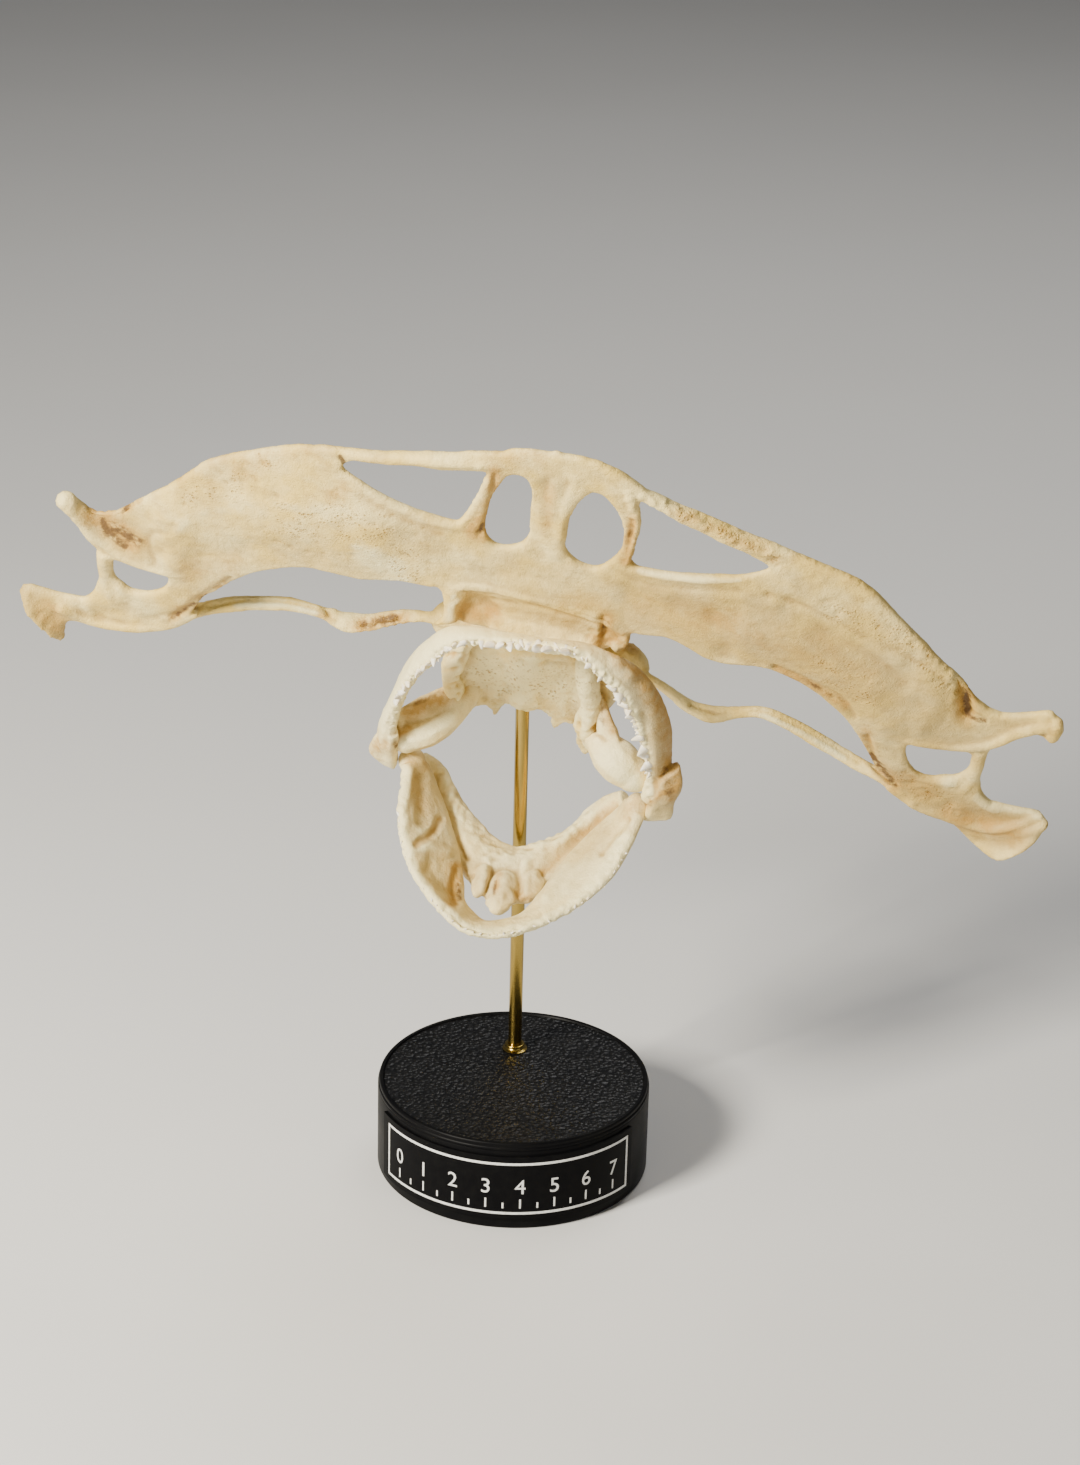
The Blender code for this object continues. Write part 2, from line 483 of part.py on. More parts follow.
def set_positions(mesh, positions):
    mesh.vertices.foreach_set("co", (positions * MM).ravel())
    mesh.update()


def normals_of(mesh):
    flat = np.empty(len(mesh.vertices) * 3)
    mesh.vertex_normals.foreach_get("vector", flat)
    return flat.reshape(-1, 3)


def distance_to_line(positions, line):
    """Distance of each position to the nearest point of a run of straight stretches."""
    nearest = np.full(len(positions), np.inf)
    for start, end in zip(line, line[1:]):
        run = end - start
        share = np.clip((positions - start) @ run / (run @ run), 0.0, 1.0)
        gap = np.linalg.norm(positions - start - share[:, None] * run, axis=1)
        nearest = np.minimum(nearest, gap)
    return nearest


def as_seen(points):
    """Points moved along the line of sight onto a sphere about the viewer's eye."""
    way = np.array(points, float) - EYE
    return EYE + way / np.linalg.norm(way, axis=1, keepdims=True) * SIGHT


def carve(made, strokes):
    """Raise or sink the side that faces the viewer along each stroke's line in the view."""
    mesh = made.data
    positions = positions_of(mesh)
    normals = normals_of(mesh)
    seen = as_seen(positions)
    sight = EYE - positions
    sight /= np.linalg.norm(sight, axis=1, keepdims=True)
    facing = np.clip(np.sum(normals * sight, axis=1) * 1.6, 0.0, 1.0)
    shift = np.zeros(len(positions))
    for line, reach, height in strokes:
        fade = np.clip(1.0 - distance_to_line(seen, as_seen(smooth_rows(line, 3))) / reach, 0.0, 1.0)
        shift += height * fade * fade * (3.0 - 2.0 * fade)
    set_positions(mesh, positions + normals * (shift * facing)[:, None])


def thin_out(made, triangles):
    """Cut the triangle count while the shape stays."""
    made.data.calc_loop_triangles()
    thinner = made.modifiers.new("thin_out", "DECIMATE")
    thinner.ratio = min(1.0, triangles / len(made.data.loop_triangles))
    bpy.context.view_layer.update()
    return bake(made)


def keep_largest(mesh):
    """Only the largest closed surface of a mesh stays."""
    bm = bmesh.new()
    bm.from_mesh(mesh)
    left = set(bm.verts)
    islands = []
    while left:
        seed = left.pop()
        island = {seed}
        front = [seed]
        while front:
            vertex = front.pop()
            for edge in vertex.link_edges:
                other = edge.other_vert(vertex)
                if other in left:
                    left.remove(other)
                    island.add(other)
                    front.append(other)
        islands.append(island)
    islands.sort(key=len)
    bmesh.ops.delete(bm, geom=[vertex for island in islands[:-1] for vertex in island], context="VERTS")
    bm.to_mesh(mesh)
    bm.free()


def combine(made, others, operation, scratch):
    """A Boolean of closed meshes, which are then dropped."""
    for other in others:
        if other.name not in scratch.objects:
            scratch.objects.link(other)
    step = made.modifiers.new("combine", "BOOLEAN")
    step.operation = operation
    step.operand_type = "COLLECTION"
    step.collection = scratch
    step.solver = "MANIFOLD"
    bpy.context.view_layer.update()
    bake(made)
    for other in list(scratch.objects):
        bpy.data.objects.remove(other, do_unlink=True)
    keep_largest(made.data)
    return made


def grown_copy(made, scratch):
    """A copy that is larger all round by the gap, to cut a neighbour with."""
    copy = add_object(made.name + "_grown", made.data.copy(), scratch)
    mesh = copy.data
    set_positions(mesh, positions_of(mesh) + normals_of(mesh) * GAP)
    return copy


def cut_clear(made, neighbours, scratch):
    """Cut the neighbours out of a piece, with the gap between them."""
    for neighbour in neighbours:
        combine(made, [grown_copy(neighbour, scratch)], "DIFFERENCE", scratch)
    return made


def half_of(whole, name, side, seam, collection, scratch):
    """One side of a piece, cut at the seam by half the gap."""
    reach = 400.0
    half = add_object(name, whole.data.copy(), collection)
    bm = bmesh.new()
    edge = seam + side * 0.5 * GAP
    place = Matrix.Translation(Vector((edge - side * 0.5 * reach, 0, 0)) * MM)
    bmesh.ops.create_cube(bm, size=reach * MM, matrix=place)
    mesh = bpy.data.meshes.new(name + "_cutter")
    bm.to_mesh(mesh)
    bm.free()
    return combine(half, [add_object(mesh.name, mesh, scratch)], "DIFFERENCE", scratch)


def tooth_mesh(name, root, tip, along, width, thickness):
    """A small flattened blade with five sides, from its sunk root to its tip."""
    way = Vector(tip - root)
    along = Vector(along).normalized()
    face = way.cross(along).normalized()
    along = face.cross(way).normalized()
    place = Matrix.Translation(Vector(0.5 * (root + tip)) * MM)
    turn = Matrix((along * width, face * thickness, way)).transposed().to_4x4()
    scale = Matrix.Diagonal((MM, MM, MM, 1.0))
    bm = bmesh.new()
    bmesh.ops.create_cone(bm, segments=5, radius1=0.5, radius2=0.1, depth=1.0, cap_ends=True,
                          matrix=place @ scale @ turn)
    bmesh.ops.recalc_face_normals(bm, faces=bm.faces)
    mesh = bpy.data.meshes.new(name)
    bm.to_mesh(mesh)
    bm.free()
    return mesh


def toothed(jaw, stations, toothed_edge, count, heights, width, inward, sides, scratch):
    """Teeth along the jaw's tooth edge, fused to it; only those on its side of the seam."""
    seam, side = sides
    run = smooth_rows([(*a, *b, t) for a, b, t in stations], 12)
    edge = run[:, 3:6] if toothed_edge else run[:, :3]
    back = run[:, :3] if toothed_edge else run[:, 3:6]
    lengths = np.concatenate([[0.0], np.cumsum(np.linalg.norm(np.diff(edge, axis=0), axis=1))])
    chance = np.random.default_rng(7)
    for number in range(count):
        spread = 2.0 * (number + 0.5 + chance.uniform(-0.15, 0.15)) / count - 1.0
        share = 0.5 + 0.45 * spread * (0.68 + 0.32 * abs(spread))
        size = chance.uniform(*heights) * (0.75 + 0.25 * math.sin(math.pi * share))
        lean = chance.uniform(-0.25, 0.25)
        place = np.array([np.interp(share * lengths[-1], lengths, edge[:, k]) for k in range(3)])
        rear = np.array([np.interp(share * lengths[-1], lengths, back[:, k]) for k in range(3)])
        ahead = np.array([np.interp(share * lengths[-1] + 1.0, lengths, edge[:, k]) for k in range(3)])
        along = ahead - place
        out = (place - rear) / np.linalg.norm(place - rear)
        way = out + along * lean + inward
        way /= np.linalg.norm(way)
        if (place[0] - seam) * side > 0.6 * width:
            mesh = tooth_mesh(f"tooth_{number}", place - way * 1.4, place + way * size, along, width, 1.2)
            add_object(mesh.name, mesh, scratch)
    return combine(jaw, [], "UNION", scratch)


def winged_plate(scratch):
    """The wide plate of the hammer with its windows, bent and skinned."""
    outer = smooth_rows(LEFT_TIP + FRONT_EDGE + RIGHT_TIP + BACK_EDGE, 3, closed=True)
    windows = [smooth_rows(window, 3, closed=True) for window in WINDOWS]
    outlines = [inset(outer, PLATE_INSET)] + [inset(window, -PLATE_INSET) for window in windows]
    plate = fuse("plate", [flat_mesh("plate", outlines, PLATE_THICKNESS)], SKIN, 1, scratch)
    positions = positions_of(plate.data)
    set_positions(plate.data, towards_viewer(positions, plate_height(positions)))
    mesh = plate.data.copy()
    bpy.data.objects.remove(plate, do_unlink=True)
    return mesh


def make_cranium(parts, scratch):
    """The skull proper: braincase, winged plate, tips and the bars behind the eyes."""
    meshes = [winged_plate(scratch)]
    for number, (rows, radii) in enumerate(RIMS):
        meshes.append(tube_mesh(f"rim_{number}", on_plate(rows), radii))
    for number, (middle, sizes) in enumerate(MASSES):
        meshes.append(lump_mesh(f"mass_{number}", middle, sizes))
    floor = smooth_rows(FLOOR_EDGE, 2, closed=True)
    meshes.append(flat_mesh("floor", [floor], FLOOR_THICKNESS, FLOOR_LEVEL))
    meshes.append(blade_mesh("palate", PALATE, fullness=0.6))
    for name, stations in (("left_foot", LEFT_FOOT), ("right_foot", RIGHT_FOOT), ("pillar", PILLAR)):
        rows = [(*on_plate([first, second]), thickness) for first, second, thickness in stations]
        meshes.append(blade_mesh(name, rows, fullness=0.6))
    meshes.append(tube_mesh("left_wall", *LEFT_WALL))
    meshes.append(tube_mesh("right_wall", *RIGHT_WALL))
    meshes.append(strap_mesh("left_bar", LEFT_BAR))
    meshes.append(strap_mesh("right_bar", RIGHT_BAR))
    cranium = fuse("cranium", meshes, SKIN, 3, parts)
    carve(cranium, RELIEF)
    thin_out(cranium, CRANIUM_TRIANGLES)
    keep_largest(cranium.data)
    return combine(cranium, [rod_socket(scratch)], "DIFFERENCE", scratch)


def skull_pose():
    turn = Euler([math.radians(angle) for angle in SKULL_TURN])
    return Matrix.LocRotScale(Vector(SKULL_PLACE) * MM, turn, None)


def rod_socket(scratch):
    """The hole that the rod's top stands in, in the skull's axes."""
    height = 40.0
    bm = bmesh.new()
    middle = Matrix.Translation(Vector((0, ROD_BACK, ROD_TOP + GAP - 0.5 * height)) * MM)
    bmesh.ops.create_cone(bm, segments=24, radius1=(ROD_RADIUS + GAP) * MM, radius2=(ROD_RADIUS + GAP) * MM,
                          depth=height * MM, cap_ends=True, matrix=skull_pose().inverted() @ middle)
    mesh = bpy.data.meshes.new("rod_socket")
    bm.to_mesh(mesh)
    bm.free()
    return add_object(mesh.name, mesh, scratch)


def make_jaw(name, stations, knobs, joints, scratch):
    """A whole jaw arch before it is parted at the seam."""
    meshes = [blade_mesh(name, stations)]
    for number, joint in enumerate(joints):
        meshes.append(blade_mesh(f"{name}_joint_{number}", joint, fullness=0.5))
    for number, (middle, sizes) in enumerate(knobs):
        meshes.append(lump_mesh(f"{name}_knob_{number}", middle, sizes))
    return fuse(name, meshes, JAW_SKIN, 2, scratch)


def make_support(name, stations, flange, parts):
    """One jaw support with its flange."""
    points = [middle for middle, radius in stations]
    radii = [radius for middle, radius in stations]
    meshes = [tube_mesh(name, points, radii), blade_mesh(name + "_flange", flange, fullness=0.9)]
    ends = [stations[0], stations[-1]]
    for number, (middle, radius) in enumerate(ends):
        meshes.append(lump_mesh(f"{name}_end_{number}", middle, (radius, radius, radius)))
    support = fuse(name, meshes, JAW_SKIN, 3, parts)
    return thin_out(support, SUPPORT_TRIANGLES)


def make_skull(parts, scratch):
    """All nodes of the skull, parented to the empty that poses them."""
    cranium = make_cranium(parts, scratch)
    upper = make_jaw("upper_jaw", UPPER_JAW, UPPER_KNOBS, UPPER_JOINTS, scratch)
    lower = make_jaw("lower_jaw", LOWER_JAW, LOWER_KNOBS, [], scratch)
    bpy.context.scene.collection.objects.link(upper)
    bpy.context.scene.collection.objects.link(lower)
    scratch.objects.unlink(upper)
    scratch.objects.unlink(lower)
    thin_out(upper, 2 * JAW_TRIANGLES)
    thin_out(lower, 2 * JAW_TRIANGLES)
    cut_clear(upper, [cranium], scratch)
    cut_clear(lower, [upper], scratch)
    supports = [make_support("jaw_support_left", LEFT_SUPPORT, LEFT_FLANGE, parts),
                make_support("jaw_support_right", RIGHT_SUPPORT, RIGHT_FLANGE, parts)]
    for support in supports:
        cut_clear(support, [cranium, upper, lower], scratch)
    arch_meshes = [blade_mesh("tongue_arch", TONGUE_ARCH)]
    for number, (middle, sizes) in enumerate(TONGUE_LOBES):
        arch_meshes.append(lump_mesh(f"lobe_{number}", middle, sizes))
    arch = thin_out(fuse("tongue_arch", arch_meshes, JAW_SKIN, 2, parts), HYOID_TRIANGLES)
    cut_clear(arch, [lower, *supports], scratch)
    made = [cranium, arch, *supports]
    for side, word in ((-1, "left"), (1, "right")):
        half = half_of(upper, f"upper_jaw_{word}", side, UPPER_SEAM, parts, scratch)
        made.append(toothed(half, UPPER_JAW, True, UPPER_TEETH, UPPER_TOOTH_HEIGHT, UPPER_TOOTH_WIDTH,
                            np.array([0, 0, 0.25]), (UPPER_SEAM, side), scratch))
        half = half_of(lower, f"lower_jaw_{word}", side, LOWER_SEAM, parts, scratch)
        made.append(toothed(half, LOWER_JAW, False, LOWER_TEETH, LOWER_TOOTH_HEIGHT, LOWER_TOOTH_WIDTH,
                            np.array([0, 0.8, 0]), (LOWER_SEAM, side), scratch))
    bpy.data.objects.remove(upper, do_unlink=True)
    bpy.data.objects.remove(lower, do_unlink=True)
    bone = make_material("bone", BONE)
    jaw_bone = make_material("jaw_bone", TOOTH_BONE)
    poser = bpy.data.objects.new("skull_pose", None)
    parts.objects.link(poser)
    poser.matrix_world = skull_pose()
    for piece in made:
        piece.data.materials.clear()
        piece.data.materials.append(jaw_bone if "jaw_" in piece.name else bone)
        piece.data.shade_smooth()
        piece.parent = poser


def turned(name, profile, collection):
    """A round piece from a profile of (radius, height), outer side from top to bottom."""
    bm = bmesh.new()
    verts = [bm.verts.new((radius * MM, 0, height * MM)) for radius, height in profile]
    for start, end in zip(verts, verts[1:]):
        bm.edges.new((start, end))
    mesh = bpy.data.meshes.new(name)
    bm.to_mesh(mesh)
    bm.free()
    made = add_object(name, mesh, collection)
    screw = made.modifiers.new("turn", "SCREW")
    screw.steps = 48
    screw.render_steps = 48
    screw.use_merge_vertices = True
    screw.merge_threshold = 0.00005
    return made


def make_base(parts, scratch):
    """The round base, with a small rolled lip and a hole for the rod."""
    lip = BASE_RADIUS - BASE_LIP
    profile = [(0, BASE_HEIGHT - 0.4), (lip - 1.2, BASE_HEIGHT - 0.4), (lip - 0.6, BASE_HEIGHT),
               (lip, BASE_HEIGHT)]
    for step in range(1, 5):
        turn = 0.5 * math.pi * step / 4
        profile.append((lip + BASE_LIP * math.sin(turn), BASE_HEIGHT - BASE_LIP * (1.0 - math.cos(turn))))
    profile += [(BASE_RADIUS, 1.0), (BASE_RADIUS - 1.0, 0), (0, 0)]
    base = bake_turned(turned("stand_base", profile, parts))
    bm = bmesh.new()
    depth = ROD_SUNK + 10.0
    middle = Matrix.Translation(Vector((0, ROD_BACK, BASE_HEIGHT - ROD_SUNK + 0.5 * depth)) * MM)
    bmesh.ops.create_cone(bm, segments=24, radius1=(ROD_RADIUS + GAP) * MM, radius2=(ROD_RADIUS + GAP) * MM,
                          depth=depth * MM, cap_ends=True, matrix=middle)
    mesh = bpy.data.meshes.new("base_hole")
    bm.to_mesh(mesh)
    bm.free()
    combine(base, [add_object(mesh.name, mesh, scratch)], "DIFFERENCE", scratch)
    return base


def bake_turned(made):
    """A turned piece as one closed mesh."""
    bpy.context.view_layer.update()
    bake(made)
    welded(made.data)
    return made


def make_rod(parts):
    bottom = BASE_HEIGHT - ROD_SUNK + GAP
    height = ROD_TOP - bottom
    profile = [(0, height), (ROD_RADIUS - 0.2, height), (ROD_RADIUS, height - 0.2), (ROD_RADIUS, 0.2),
               (ROD_RADIUS - 0.2, 0), (0, 0)]
    rod = turned("stand_rod", profile, parts)
    rod.modifiers["turn"].steps = 24
    rod.modifiers["turn"].render_steps = 24
    bake_turned(rod)
    rod.location = Vector((0, ROD_BACK, bottom)) * MM
    return rod


def make_collar(parts):
    """The small flared ring round the rod's foot."""
    inner = ROD_RADIUS + GAP
    profile = [(inner, COLLAR_HEIGHT), (inner + 0.7, COLLAR_HEIGHT), (inner + 1.0, 0.5 * COLLAR_HEIGHT),
               (COLLAR_RADIUS - 0.2, 0.4), (COLLAR_RADIUS, 0), (inner, 0), (inner, COLLAR_HEIGHT)]
    collar = turned("stand_collar", profile, parts)
    collar.modifiers["turn"].steps = 32
    collar.modifiers["turn"].render_steps = 32
    bake_turned(collar)
    collar.location = Vector((0, ROD_BACK, BASE_HEIGHT - 0.4 + GAP)) * MM
    return collar


def make_label(parts):
    """The strip of label stuck round the base's front."""
    inner = BASE_RADIUS + GAP
    steps = 48
    bm = bmesh.new()
    rows = []
    for number in range(steps + 1):
        turn = -0.5 * math.pi + LABEL_START + (LABEL_END - LABEL_START) * number / steps
        rows.append([bm.verts.new((inner * math.cos(turn) * MM, inner * math.sin(turn) * MM, height * MM))
                     for height in (LABEL_BOTTOM, LABEL_TOP)])
    for (low, high), (next_low, next_high) in zip(rows, rows[1:]):
        bm.faces.new((low, next_low, next_high, high))
    mesh = bpy.data.meshes.new("stand_label")
    bm.to_mesh(mesh)
    bm.free()
    label = add_object("stand_label", mesh, parts)
    shell = label.modifiers.new("shell", "SOLIDIFY")
    shell.thickness = LABEL_THICKNESS * MM
    shell.offset = 1.0
    return label


def main():
    clear_scene()
    parts = bpy.data.collections.new("hammerhead_skull")
    scratch = bpy.data.collections.new("cutters")
    bpy.context.scene.collection.children.link(parts)
    bpy.context.scene.collection.children.link(scratch)
    make_skull(parts, scratch)
    stand = [(make_base(parts, scratch), make_material("base_black", BLACK)),
             (make_rod(parts), make_material("brass", BRASS)),
             (make_collar(parts), make_material("collar_brass", BRASS)),
             (make_label(parts), make_material("label_black", LABEL_BLACK))]
    for piece, material in stand:
        piece.data.materials.clear()
        piece.data.materials.append(material)
        piece.data.shade_smooth()
        piece.data.set_sharp_from_angle(angle=math.radians(35))


main()
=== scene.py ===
# %% [markdown]
# # The skull of a hammerhead shark on a museum stand
#
# A shark's skull is cartilage. Dried, it is a cream shell, thin as card at its edges, brown in
# its hollows, chalky where it was scraped clean. The wide plate is the hammer, the open ring in
# the middle is the mouth, and a brass rod in a black base carries it all.
#
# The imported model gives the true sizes. This script dresses it: every cartilage piece is made
# again from the same named sizes with a finer skin, and gets its folds, pores and stains.

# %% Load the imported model
import math
from functools import partial

import bmesh
import bpy
import numpy as np
from mathutils import Euler, Matrix, Vector, noise


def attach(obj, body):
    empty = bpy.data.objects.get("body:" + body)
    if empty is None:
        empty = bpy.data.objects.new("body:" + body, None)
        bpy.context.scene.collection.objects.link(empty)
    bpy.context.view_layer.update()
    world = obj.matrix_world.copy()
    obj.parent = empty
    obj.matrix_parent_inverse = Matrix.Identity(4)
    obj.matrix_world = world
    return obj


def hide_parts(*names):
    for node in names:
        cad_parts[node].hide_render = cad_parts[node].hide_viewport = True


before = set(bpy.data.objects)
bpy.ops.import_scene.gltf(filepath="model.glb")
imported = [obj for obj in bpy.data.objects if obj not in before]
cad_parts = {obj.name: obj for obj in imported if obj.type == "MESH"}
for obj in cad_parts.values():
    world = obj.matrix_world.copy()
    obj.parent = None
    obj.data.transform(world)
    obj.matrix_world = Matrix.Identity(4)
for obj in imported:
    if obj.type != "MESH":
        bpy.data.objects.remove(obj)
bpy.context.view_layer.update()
MM = 0.001
BODY = "root"
print("nodes:", ", ".join(sorted(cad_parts)))

# %% [markdown]
# ## The camera
#
# A long lens looks a little down on the skull. The camera's place and tilt were worked out from
# the ellipse of the round base and from the upright rod. It is turned by a matrix whose columns
# are its right, its up and its back.

# %% Set the camera
CAMERA_PLACE = Vector((5.17, -870.29, 520.57)) * MM
CAMERA_PITCH = math.radians(23.71)
CAMERA_ROLL = math.radians(1.45)
CAMERA_LENS = 82.94
LONG_SIDE = 36.0

back = Vector((0, -math.cos(CAMERA_PITCH), math.sin(CAMERA_PITCH)))
level_up = Vector((0, math.sin(CAMERA_PITCH), math.cos(CAMERA_PITCH)))
level_right = Vector((1, 0, 0))
right = level_right * math.cos(CAMERA_ROLL) + level_up * math.sin(CAMERA_ROLL)
up = level_up * math.cos(CAMERA_ROLL) - level_right * math.sin(CAMERA_ROLL)
lens = bpy.data.cameras.new("camera")
lens.sensor_fit = "VERTICAL"
lens.sensor_height = LONG_SIDE
lens.lens = CAMERA_LENS
camera = bpy.data.objects.new("camera", lens)
camera_turn = Matrix((right, up, back)).transposed().to_4x4()
camera.matrix_world = Matrix.Translation(CAMERA_PLACE) @ camera_turn
bpy.context.scene.collection.objects.link(camera)
bpy.context.scene.camera = camera
print("camera at", [round(x, 3) for x in CAMERA_PLACE])

# %% [markdown]
# ## The skull's own axes
#
# The skull is easier to shape lying flat than in its pose. Its own axes are millimetres: u to
# the right across the wings, v forward along the snout, w out of the underside. One matrix then
# stands it on the rod. The wings are thin, so their bulge is measured towards the viewer's eye.

# %% Axes, pose and eye
SKULL_PLACE = Vector((3.59, -23.16, 186.09))
SKULL_TURN = Euler([math.radians(angle) for angle in (122.8, 9.1, -8.15)])
EYE = np.array([67.4, 748.1, 515.1])
SIGHT = 905.0
skull_pose = Matrix.LocRotScale(SKULL_PLACE * MM, SKULL_TURN, None)
rod_meets_skull = skull_pose @ (Vector((-2, -60, -8)) * MM)
print("the braincase stands on the rod at", [round(x / MM, 1) for x in rod_meets_skull])

# %% [markdown]
# ## Tools for shaping
#
# Soft organic forms are made in three steps. First come simple closed pieces: flat plates cut
# from outlines, round bars, blades lofted between two edges, and ellipsoids. Then one voxel
# Remesh melts them into a single skin. Last, the skin is carved by strokes, each a line with a
# reach and a height. This keeps every size readable, and no outline needs many points.


# %% Objects and baking
def add_object(name, mesh):
    made = bpy.data.objects.new(name, mesh)
    bpy.context.scene.collection.objects.link(made)
    return made


def evaluated_mesh(made):
    """A copy of the object's mesh with its modifiers carried out."""
    depsgraph = bpy.context.evaluated_depsgraph_get()
    return bpy.data.meshes.new_from_object(made.evaluated_get(depsgraph))


def bake(made):
    """Carry out the object's modifiers for good."""
    bpy.context.view_layer.update()
    mesh = evaluated_mesh(made)
    made.modifiers.clear()
    made.data = mesh
    return made


def mesh_from(bm, name):
    mesh = bpy.data.meshes.new(name)
    bm.to_mesh(mesh)
    bm.free()
    return mesh


def close_up(mesh, reach):
    """Merge points that lie together and turn the faces outwards."""
    bm = bmesh.new()
    bm.from_mesh(mesh)
    bmesh.ops.remove_doubles(bm, verts=bm.verts, dist=reach * MM)
    bmesh.ops.recalc_face_normals(bm, faces=bm.faces)
    bm.to_mesh(mesh)
    bm.free()


def join_rings(bm, rings):
    """Faces between rings of points that follow one another."""
    for ring, following in zip(rings, rings[1:]):
        for i in range(len(ring)):
            j = (i + 1) % len(ring)
            bm.faces.new((ring[i], ring[j], following[j], following[i]))


def join_points(bm, points):
    """New points with an edge from each to the next."""
    verts = [bm.verts.new(point) for point in points]
    for start, end in zip(verts, verts[1:]):
        bm.edges.new((start, end))


def mesh_of_curve(curve):
    """The closed mesh of a curve, whose object is dropped again."""
    shape = add_object(curve.name, curve)
    bpy.context.view_layer.update()
    mesh = evaluated_mesh(shape)
    bpy.data.objects.remove(shape, do_unlink=True)
    close_up(mesh, 0.01)
    return mesh


# %% Smooth lines and places on the plate
def smooth_rows(rows, steps, closed=False):
    """Rows of numbers with a smooth run through them, a number of steps to each stretch."""
    rows = np.array(rows, float)
    if closed:
        padded = np.vstack([rows[-1], rows, rows[0], rows[1]])
    else:
        padded = np.vstack([2 * rows[0] - rows[1], rows, 2 * rows[-1] - rows[-2]])
    run = []
    for before, start, end, after in zip(padded, padded[1:], padded[2:], padded[3:]):
        for t in np.linspace(0.0, 1.0, steps, endpoint=False):
            bend = (2 * before - 5 * start + 4 * end - after) * t * t
            twist = (3 * start - before - 3 * end + after) * t ** 3
            run.append(0.5 * (2 * start + (end - before) * t + bend + twist))
    if not closed:
        run.append(rows[-1])
    return np.array(run)


def towards_viewer(points, heights):
    """Points moved towards the viewer's eye by their heights."""
    way = EYE - points
    way /= np.linalg.norm(way, axis=1, keepdims=True)
    return points + way * np.reshape(heights, (-1, 1))


WING_BULGE, BULGE_DROP = 3.4, 1.6
WING_MIDDLE = 22.0
WING_SWEEP = 0.0032
WING_HALF_CHORD = 30.0
WING_START, WING_START_FADE = 24.0, 20.0
WING_END, WING_END_FADE = 122.0, 18.0
FOOT_START, FOOT_FADE = 132.0, 14.0
FOOT_TOP, FOOT_LENGTH, FOOT_SLOPE = -44.0, 30.0, 0.55


def plate_height(points):
    """How far the winged plate bulges towards the viewer, from (u, v)."""
    u, v = points[:, 0], points[:, 1]
    across = np.abs(u)
    chord = (v - WING_MIDDLE + WING_SWEEP * across ** 2) / WING_HALF_CHORD
    on_wing = np.clip((across - WING_START) / WING_START_FADE, 0.0, 1.0)
    on_wing = on_wing * np.clip((WING_END - across) / WING_END_FADE, 0.0, 1.0)
    bulge = WING_BULGE * (1.0 - np.clip(chord ** 2, 0.0, BULGE_DROP)) * on_wing
    foot = np.clip(across - FOOT_START, 0.0, FOOT_FADE) / FOOT_FADE
    return bulge + FOOT_SLOPE * foot * np.clip(FOOT_TOP - v, 0.0, FOOT_LENGTH)


def on_plate(rows):
    """Points in the skull's axes for rows of (u, v, height above the plate)."""
    rows = np.array(rows, float)
    flat = np.column_stack([rows[:, 0], rows[:, 1], np.zeros(len(rows))])
    return towards_viewer(flat, plate_height(rows) + rows[:, 2])


# %% Round bars, flat plates, blades, straps and lumps
def tube_mesh(name, points, radii):
    """A round bar of changing radius."""
    run = smooth_rows(np.column_stack([points, radii]), 6)
    curve = bpy.data.curves.new(name, "CURVE")
    curve.dimensions = "3D"
    curve.bevel_depth = MM
    curve.bevel_resolution = 3
    curve.use_fill_caps = True
    spline = curve.splines.new("POLY")
    spline.points.add(len(run) - 1)
    for point, row in zip(spline.points, run):
        point.co = (*(row[:3] * MM), 1.0)
        point.radius = row[3]
    return mesh_of_curve(curve)


def inset(outline, amount):
    """A closed outline moved inwards, or outwards where the amount is negative."""
    ahead = np.roll(outline, -1, axis=0)
    behind = np.roll(outline, 1, axis=0)
    area = 0.5 * np.sum(outline[:, 0] * ahead[:, 1] - ahead[:, 0] * outline[:, 1])
    run = ahead - behind
    run /= np.linalg.norm(run, axis=1, keepdims=True)
    inward = np.column_stack([-run[:, 1], run[:, 0]]) * np.sign(area)
    return outline + inward * amount


def flat_mesh(name, outlines, thickness, level=0.0):
    """A flat plate from closed outlines, the inner ones as holes."""
    curve = bpy.data.curves.new(name, "CURVE")
    curve.dimensions = "2D"
    curve.fill_mode = "BOTH"
    curve.extrude = 0.5 * thickness * MM
    for outline in outlines:
        spline = curve.splines.new("POLY")
        spline.points.add(len(outline) - 1)
        spline.use_cyclic_u = True
        for point, (u, v) in zip(spline.points, outline):
            point.co = (u * MM, v * MM, 0.0, 1.0)
    mesh = mesh_of_curve(curve)
    mesh.transform(Matrix.Translation((0, 0, level * MM)))
    return mesh


def blade_mesh(name, stations, steps=8, sides=24, fullness=0.75):
    """A loft along two edges: each station is edge, other edge and thickness."""
    run = smooth_rows([(*a, *b, t) for a, b, t in stations], steps)
    middles = 0.5 * (run[:, :3] + run[:, 3:6])
    reaches = 0.5 * (run[:, 3:6] - run[:, :3])
    normals = np.cross(np.gradient(middles, axis=0), reaches)
    normals /= np.linalg.norm(normals, axis=1, keepdims=True)
    bm = bmesh.new()
    rings = []
    for middle, reach, normal, thickness in zip(middles, reaches, normals, run[:, 6]):
        ring = []
        for turn in np.linspace(0.0, 2.0 * math.pi, sides, endpoint=False):
            side = math.copysign(abs(math.cos(turn)) ** fullness, math.cos(turn))
            face = math.copysign(abs(math.sin(turn)) ** fullness, math.sin(turn))
            ring.append(bm.verts.new((middle + reach * side + normal * face * 0.5 * thickness) * MM))
        rings.append(ring)
    join_rings(bm, rings)
    bm.faces.new(rings[0])
    bm.faces.new(rings[-1])
    bmesh.ops.recalc_face_normals(bm, faces=bm.faces)
    return mesh_from(bm, name)


